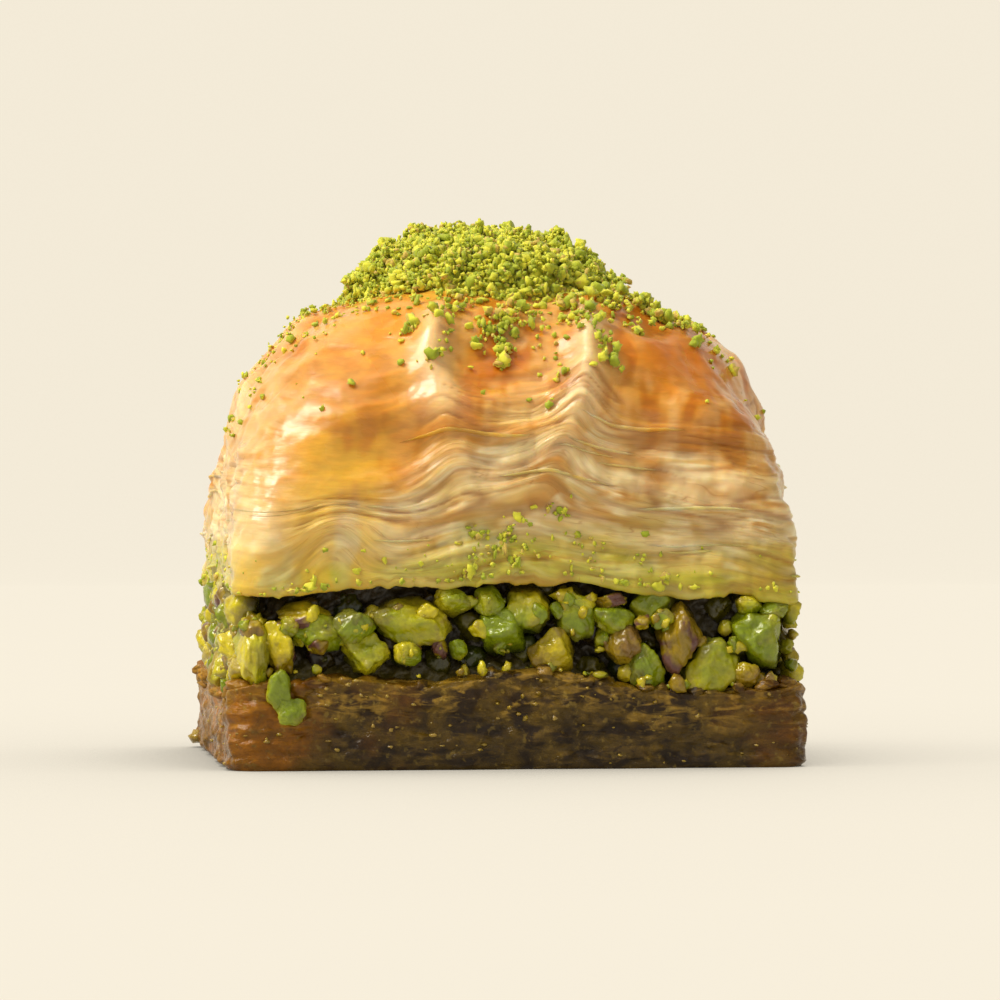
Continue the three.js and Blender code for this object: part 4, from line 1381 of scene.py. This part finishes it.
class BuildMound(bpy.types.Operator):
    """Builds the heap of ground pistachio: a rough core under thousands of crumbs"""

    bl_idname = "baklava.mound"
    bl_label = "Ground pistachio"

    def execute(self, context):
        """Crumbs lie evenly over the plan of heap_point, in clumps made by two sets of waves."""
        size, shade = context.scene.baklava_sizes, context.scene.baklava_colours
        light = ground_finish("light_ground_pistachio", shade.ground_light, shade.ground_dark)
        dark = ground_finish("dark_ground_pistachio", shade.ground_dark, shade.ground_light)
        self.core(size, dark)
        random = np.random.default_rng(83)
        fine, coarse = size.mound_crumbs, size.mound_crumbs // 5
        sorts = (
            ("fine_light_crumbs", fine, 0, 0.0, 0.45, light),
            ("fine_dark_crumbs", fine, 0, 0.0, 0.5, dark),
            ("coarse_light_crumbs", coarse, 1, 0.4, 1.0, light),
            ("coarse_dark_crumbs", coarse, 1, 0.35, 0.9, dark),
        )
        for order, (name, amount, level, least, most, material) in enumerate(sorts):
            reach, turn = np.sqrt(random.uniform(0, 1.0, amount)), random.uniform(0, 1, amount)
            centres = heap_point(turn, (1 - reach**2) ** (1 / HEAP_POWER), size)
            clump = 0.6 * lumps(centres, 3.2, 84) + 0.4 * lumps(centres, 1.5, 85)
            coarseness = mix(least, most, random.uniform(0, 1, amount) ** 1.8)
            half = mix(size.crumb_smallest, size.crumb_largest, coarseness) / MM
            lift = 0.5 * clump + random.uniform(-0.4, 0.4, amount)
            centres = centres + outwards(centres, size) * lift[:, None]
            halves = half[:, None] * random.uniform(0.55, 1.45, (amount, 3))
            points, faces, _, tone = chopped(centres, halves, level, 86 + order, 4, 14, rough=0.22)
            self.add(name, points, [faces], material, tone)
        return {"FINISHED"}

    def add(self, name, points, faces, material, tone):
        """Adds a piece of the heap."""
        nodes, slot_name = ["ground_pistachio_mound"], "ground_pistachio"
        new_piece(name, points, faces, material, {"tone": tone}, nodes)

    def core(self, size, material):
        """The heap's inside: heap_point a little smaller, moved outwards by coarse and fine waves."""
        share = np.linspace(0, 0.999, 130)[:, None] ** 1.1
        grid = heap_point(even_turns(420), share, size, -0.5)
        rough = 0.3 * lumps(grid, 3.2, 84) + 0.2 * lumps(grid, 1.5, 85) + 0.16 * lumps(grid, 0.7, 88)
        grid = grid + outwards(grid, size) * rough[..., None]
        points, faces = closed_skin(grid, [0.6, 0.2, size.dome_top / MM - 4], grid[-1].mean(0))
        tone = np.clip(0.3 + 0.2 * lumps(points, 0.8, 89), 0, 0.9)
        self.add("mound_core", points, faces, material, tone)


class BuildLooseCrumbs(bpy.types.Operator):
    """Builds the crumbs that lie on the crust and cling to the cut sheets"""

    bl_idname = "baklava.loose_crumbs"
    bl_label = "Loose crumbs"

    def execute(self, context):
        """Crumbs lie on dome_point. Clumps have their own places, and large clumps pile up. Of the dust,
        every second crumb lies in a ring by the heap's foot and the others lie further down the crust,
        fewer of them the lower it is. Half as many again lie near the dome's lower edge."""
        size, shade = context.scene.baklava_sizes, context.scene.baklava_colours
        random = np.random.default_rng(91)
        spots = np.array(CRUST_CLUMPS)
        which = np.repeat(np.arange(len(spots)), spots[:, 2].astype(int))
        amount, spread_by = len(which), spots[which, 3]
        clump_turn = spots[which, 0] + random.normal(0, 1, amount) * spread_by / 150
        clump_share = spots[which, 1] + random.normal(0, 1, amount) * spread_by / 30
        pile = random.uniform(0, 1, amount) * np.clip(spots[which, 2] / 60, 0, 1)
        dust, low_dust = size.dust_crumbs, size.dust_crumbs // 2
        turn = np.concatenate([clump_turn, random.uniform(0, 1, dust + low_dust)])
        reach = np.where(np.arange(dust) % 2 == 0, 0.07, 0.4) * random.uniform(0, 1, dust) ** 2
        shares = [clump_share, 0.935 - reach, 0.13 * random.uniform(0, 1, low_dust) ** 2]
        share = np.clip(np.concatenate(shares), 0.01, 0.97)
        small, large = size.crumb_smallest / MM, size.crumb_largest / MM
        half = mix(small, large, random.uniform(0, 1, len(turn)) ** 2.5)
        half[amount:] *= 0.8
        on_left = np.abs(away_from(turn, LEFT_CUT)) < 0.12
        half = half * np.select([share < 0.05, share < 0.3, on_left], [1.0, 0.75, 0.62], 1.0)
        stand, _ = pastry_relief(turn, share)
        stand[:amount] += 0.8 * pile
        centres = dome_point(turn, share, stand + np.where(share < 0.3, -0.1, 0.4) * half)
        halves = half[:, None] * random.uniform(0.6, 1.4, (len(half), 3))
        material = ground_finish("loose_ground_pistachio", shade.ground_light, shade.ground_dark)
        points, faces, _, tone = chopped(centres, halves, 1, 92, 5, 14, rough=0.22)
        nodes, slot_name = ["phyllo_dome"], "ground_pistachio"
        new_piece("crust_crumbs", points, [faces], material, {"tone": tone}, nodes)
        return {"FINISHED"}


class BuildStage(bpy.types.Operator):
    """Builds the pale sweep, the lights and the camera"""

    bl_idname = "baklava.stage"
    bl_label = "Stage"

    def execute(self, context):
        """The sweep, the camera, three lights and an even light from all round."""
        stage = context.scene.baklava_stage
        self.sweep(stage)
        self.camera(context, stage)
        self.light("key_light", (-0.45, -0.12, 0.59), 0.28, stage.key_power, (1.0, 0.93, 0.82))
        self.light("fill_light", (0.12, -0.9, 0.42), 0.7, stage.fill_power, (1.0, 0.98, 0.95))
        self.light("top_light", (-0.05, -0.1, 0.8), 0.5, stage.top_power, (1.0, 0.97, 0.92))
        world = bpy.data.worlds.new("soft_room")
        context.scene.world = world
        world.use_nodes = True
        ground = world.node_tree.nodes["Background"]
        ground.inputs["Color"].default_value = (1.0, 0.965, 0.9, 1)
        ground.inputs["Strength"].default_value = stage.room
        context.scene.view_settings.view_transform = "Standard"
        context.scene.view_settings.look = "None"
        return {"FINISHED"}

    def sweep(self, stage):
        """The floor and backdrop in one: a flat floor, a quarter circle of 0.5 m radius, then an upright
        wall. The paper mostly glows, so that it stays even, and ambient occlusion dims the glow near the
        piece."""
        angle = np.linspace(0, np.pi / 2, 33)
        y = np.concatenate([[-2.5], 1.6 + 0.5 * np.sin(angle), [2.1]])
        z = np.concatenate([[0], 0.5 - 0.5 * np.cos(angle), [3.0]])
        across = np.array([-3.0, 3.0])
        grid = np.stack(np.broadcast_arrays(across[None, :], y[:, None], z[:, None]), -1)
        row = np.arange(len(y) - 1)[:, None] * 2
        faces = (row + np.array([[0, 1, 3, 2]])).tolist()
        mesh = bpy.data.meshes.new("paper_sweep")
        mesh.from_pydata(grid.reshape(-1, 3).tolist(), [], faces)
        mesh.shade_smooth()
        material, shader = finish_of("pale_paper", roughness=0.9, specular_ior_level=0.1)
        tone = brightened(material, stage.paper, 0.014, 0.018, grain(material, 40.0, 2.0))
        wire(material, tone, shader.inputs["Base Color"])
        near = put(material, "ShaderNodeAmbientOcclusion", {"Distance": 0.11}, samples=4).outputs["AO"]
        glow = brightened(material, stage.paper, 0.1, 1.0, near)
        wire(material, glow, shader.inputs["Emission Color"])
        shader.inputs["Emission Strength"].default_value = 0.968
        mesh.materials.append(material)
        sweep = bpy.data.objects.new("paper_sweep", mesh)
        bpy.context.scene.collection.objects.link(sweep)

    def camera(self, context, stage):
        """Stands to the left by the yaw, at eye height, and looks at the aim."""
        data = bpy.data.cameras.new("camera")
        data.lens, data.sensor_width, data.clip_start, data.clip_end = stage.lens, 36, 0.01, 20
        camera = bpy.data.objects.new("camera", data)
        aim = np.array([stage.aim_right, 0, stage.aim_height])
        back = np.array([-math.sin(stage.yaw), -math.cos(stage.yaw), 0]) * stage.distance
        spot = np.array([stage.aim_right, 0, stage.eye]) + back
        camera.location = spot
        way = aim - spot
        tilt = math.atan2(way[2], math.hypot(way[0], way[1]))
        camera.rotation_euler = (math.pi / 2 + tilt, 0, math.atan2(-way[0], way[1]))
        context.scene.collection.objects.link(camera)
        context.scene.camera = camera

    def light(self, name, spot, side, power, tint):
        """A square area light at a spot, facing the piece."""
        data = bpy.data.lights.new(name, "AREA")
        data.shape, data.size, data.energy, data.color = "SQUARE", side, power, tint
        lamp = bpy.data.objects.new(name, data)
        lamp.location = spot
        x, y, z = spot[0], spot[1], spot[2] - 0.02
        lamp.rotation_euler = (math.atan2(math.hypot(x, y), z), 0, math.atan2(x, -y))
        bpy.context.scene.collection.objects.link(lamp)


class BaklavaPanel(bpy.types.Panel):
    """Lists the pieces and their sizes and colours"""

    bl_label = "Pistachio baklava"
    bl_idname = "VIEW3D_PT_baklava"
    bl_space_type = "VIEW_3D"
    bl_region_type = "UI"
    bl_category = "Baklava"

    def draw(self, context):
        """One button for each step, then every size, colour and stage value."""
        for step in STEPS:
            self.layout.operator(step.bl_idname)
        scene = context.scene
        for group in (scene.baklava_sizes, scene.baklava_colours, scene.baklava_stage):
            box = self.layout.box()
            for key in group.bl_rna.properties.keys():
                if key not in {"rna_type", "name"}:
                    box.prop(group, key)


STEPS = (BuildSoakedBase, BuildFilling, BuildDome, BuildMound, BuildLooseCrumbs, BuildStage)
GROUPS = (BaklavaSizes, BaklavaColours, BaklavaStage)


def register():
    """Registers the classes and the scene's three groups of values."""
    for kind in (*GROUPS, *STEPS, BaklavaPanel):
        bpy.utils.register_class(kind)
    bpy.types.Scene.baklava_sizes = bpy.props.PointerProperty(type=BaklavaSizes)
    bpy.types.Scene.baklava_colours = bpy.props.PointerProperty(type=BaklavaColours)
    bpy.types.Scene.baklava_stage = bpy.props.PointerProperty(type=BaklavaStage)


def unregister():
    """Undoes register."""
    del bpy.types.Scene.baklava_stage
    del bpy.types.Scene.baklava_colours
    del bpy.types.Scene.baklava_sizes
    for kind in reversed((*GROUPS, *STEPS, BaklavaPanel)):
        bpy.utils.unregister_class(kind)


def main():
    """Builds every piece and the stage."""
    register()
    bpy.ops.baklava.soaked_base()
    bpy.ops.baklava.filling()
    bpy.ops.baklava.dome()
    bpy.ops.baklava.mound()
    bpy.ops.baklava.loose_crumbs()
    bpy.ops.baklava.stage()


if __name__ == "__main__":
    main()
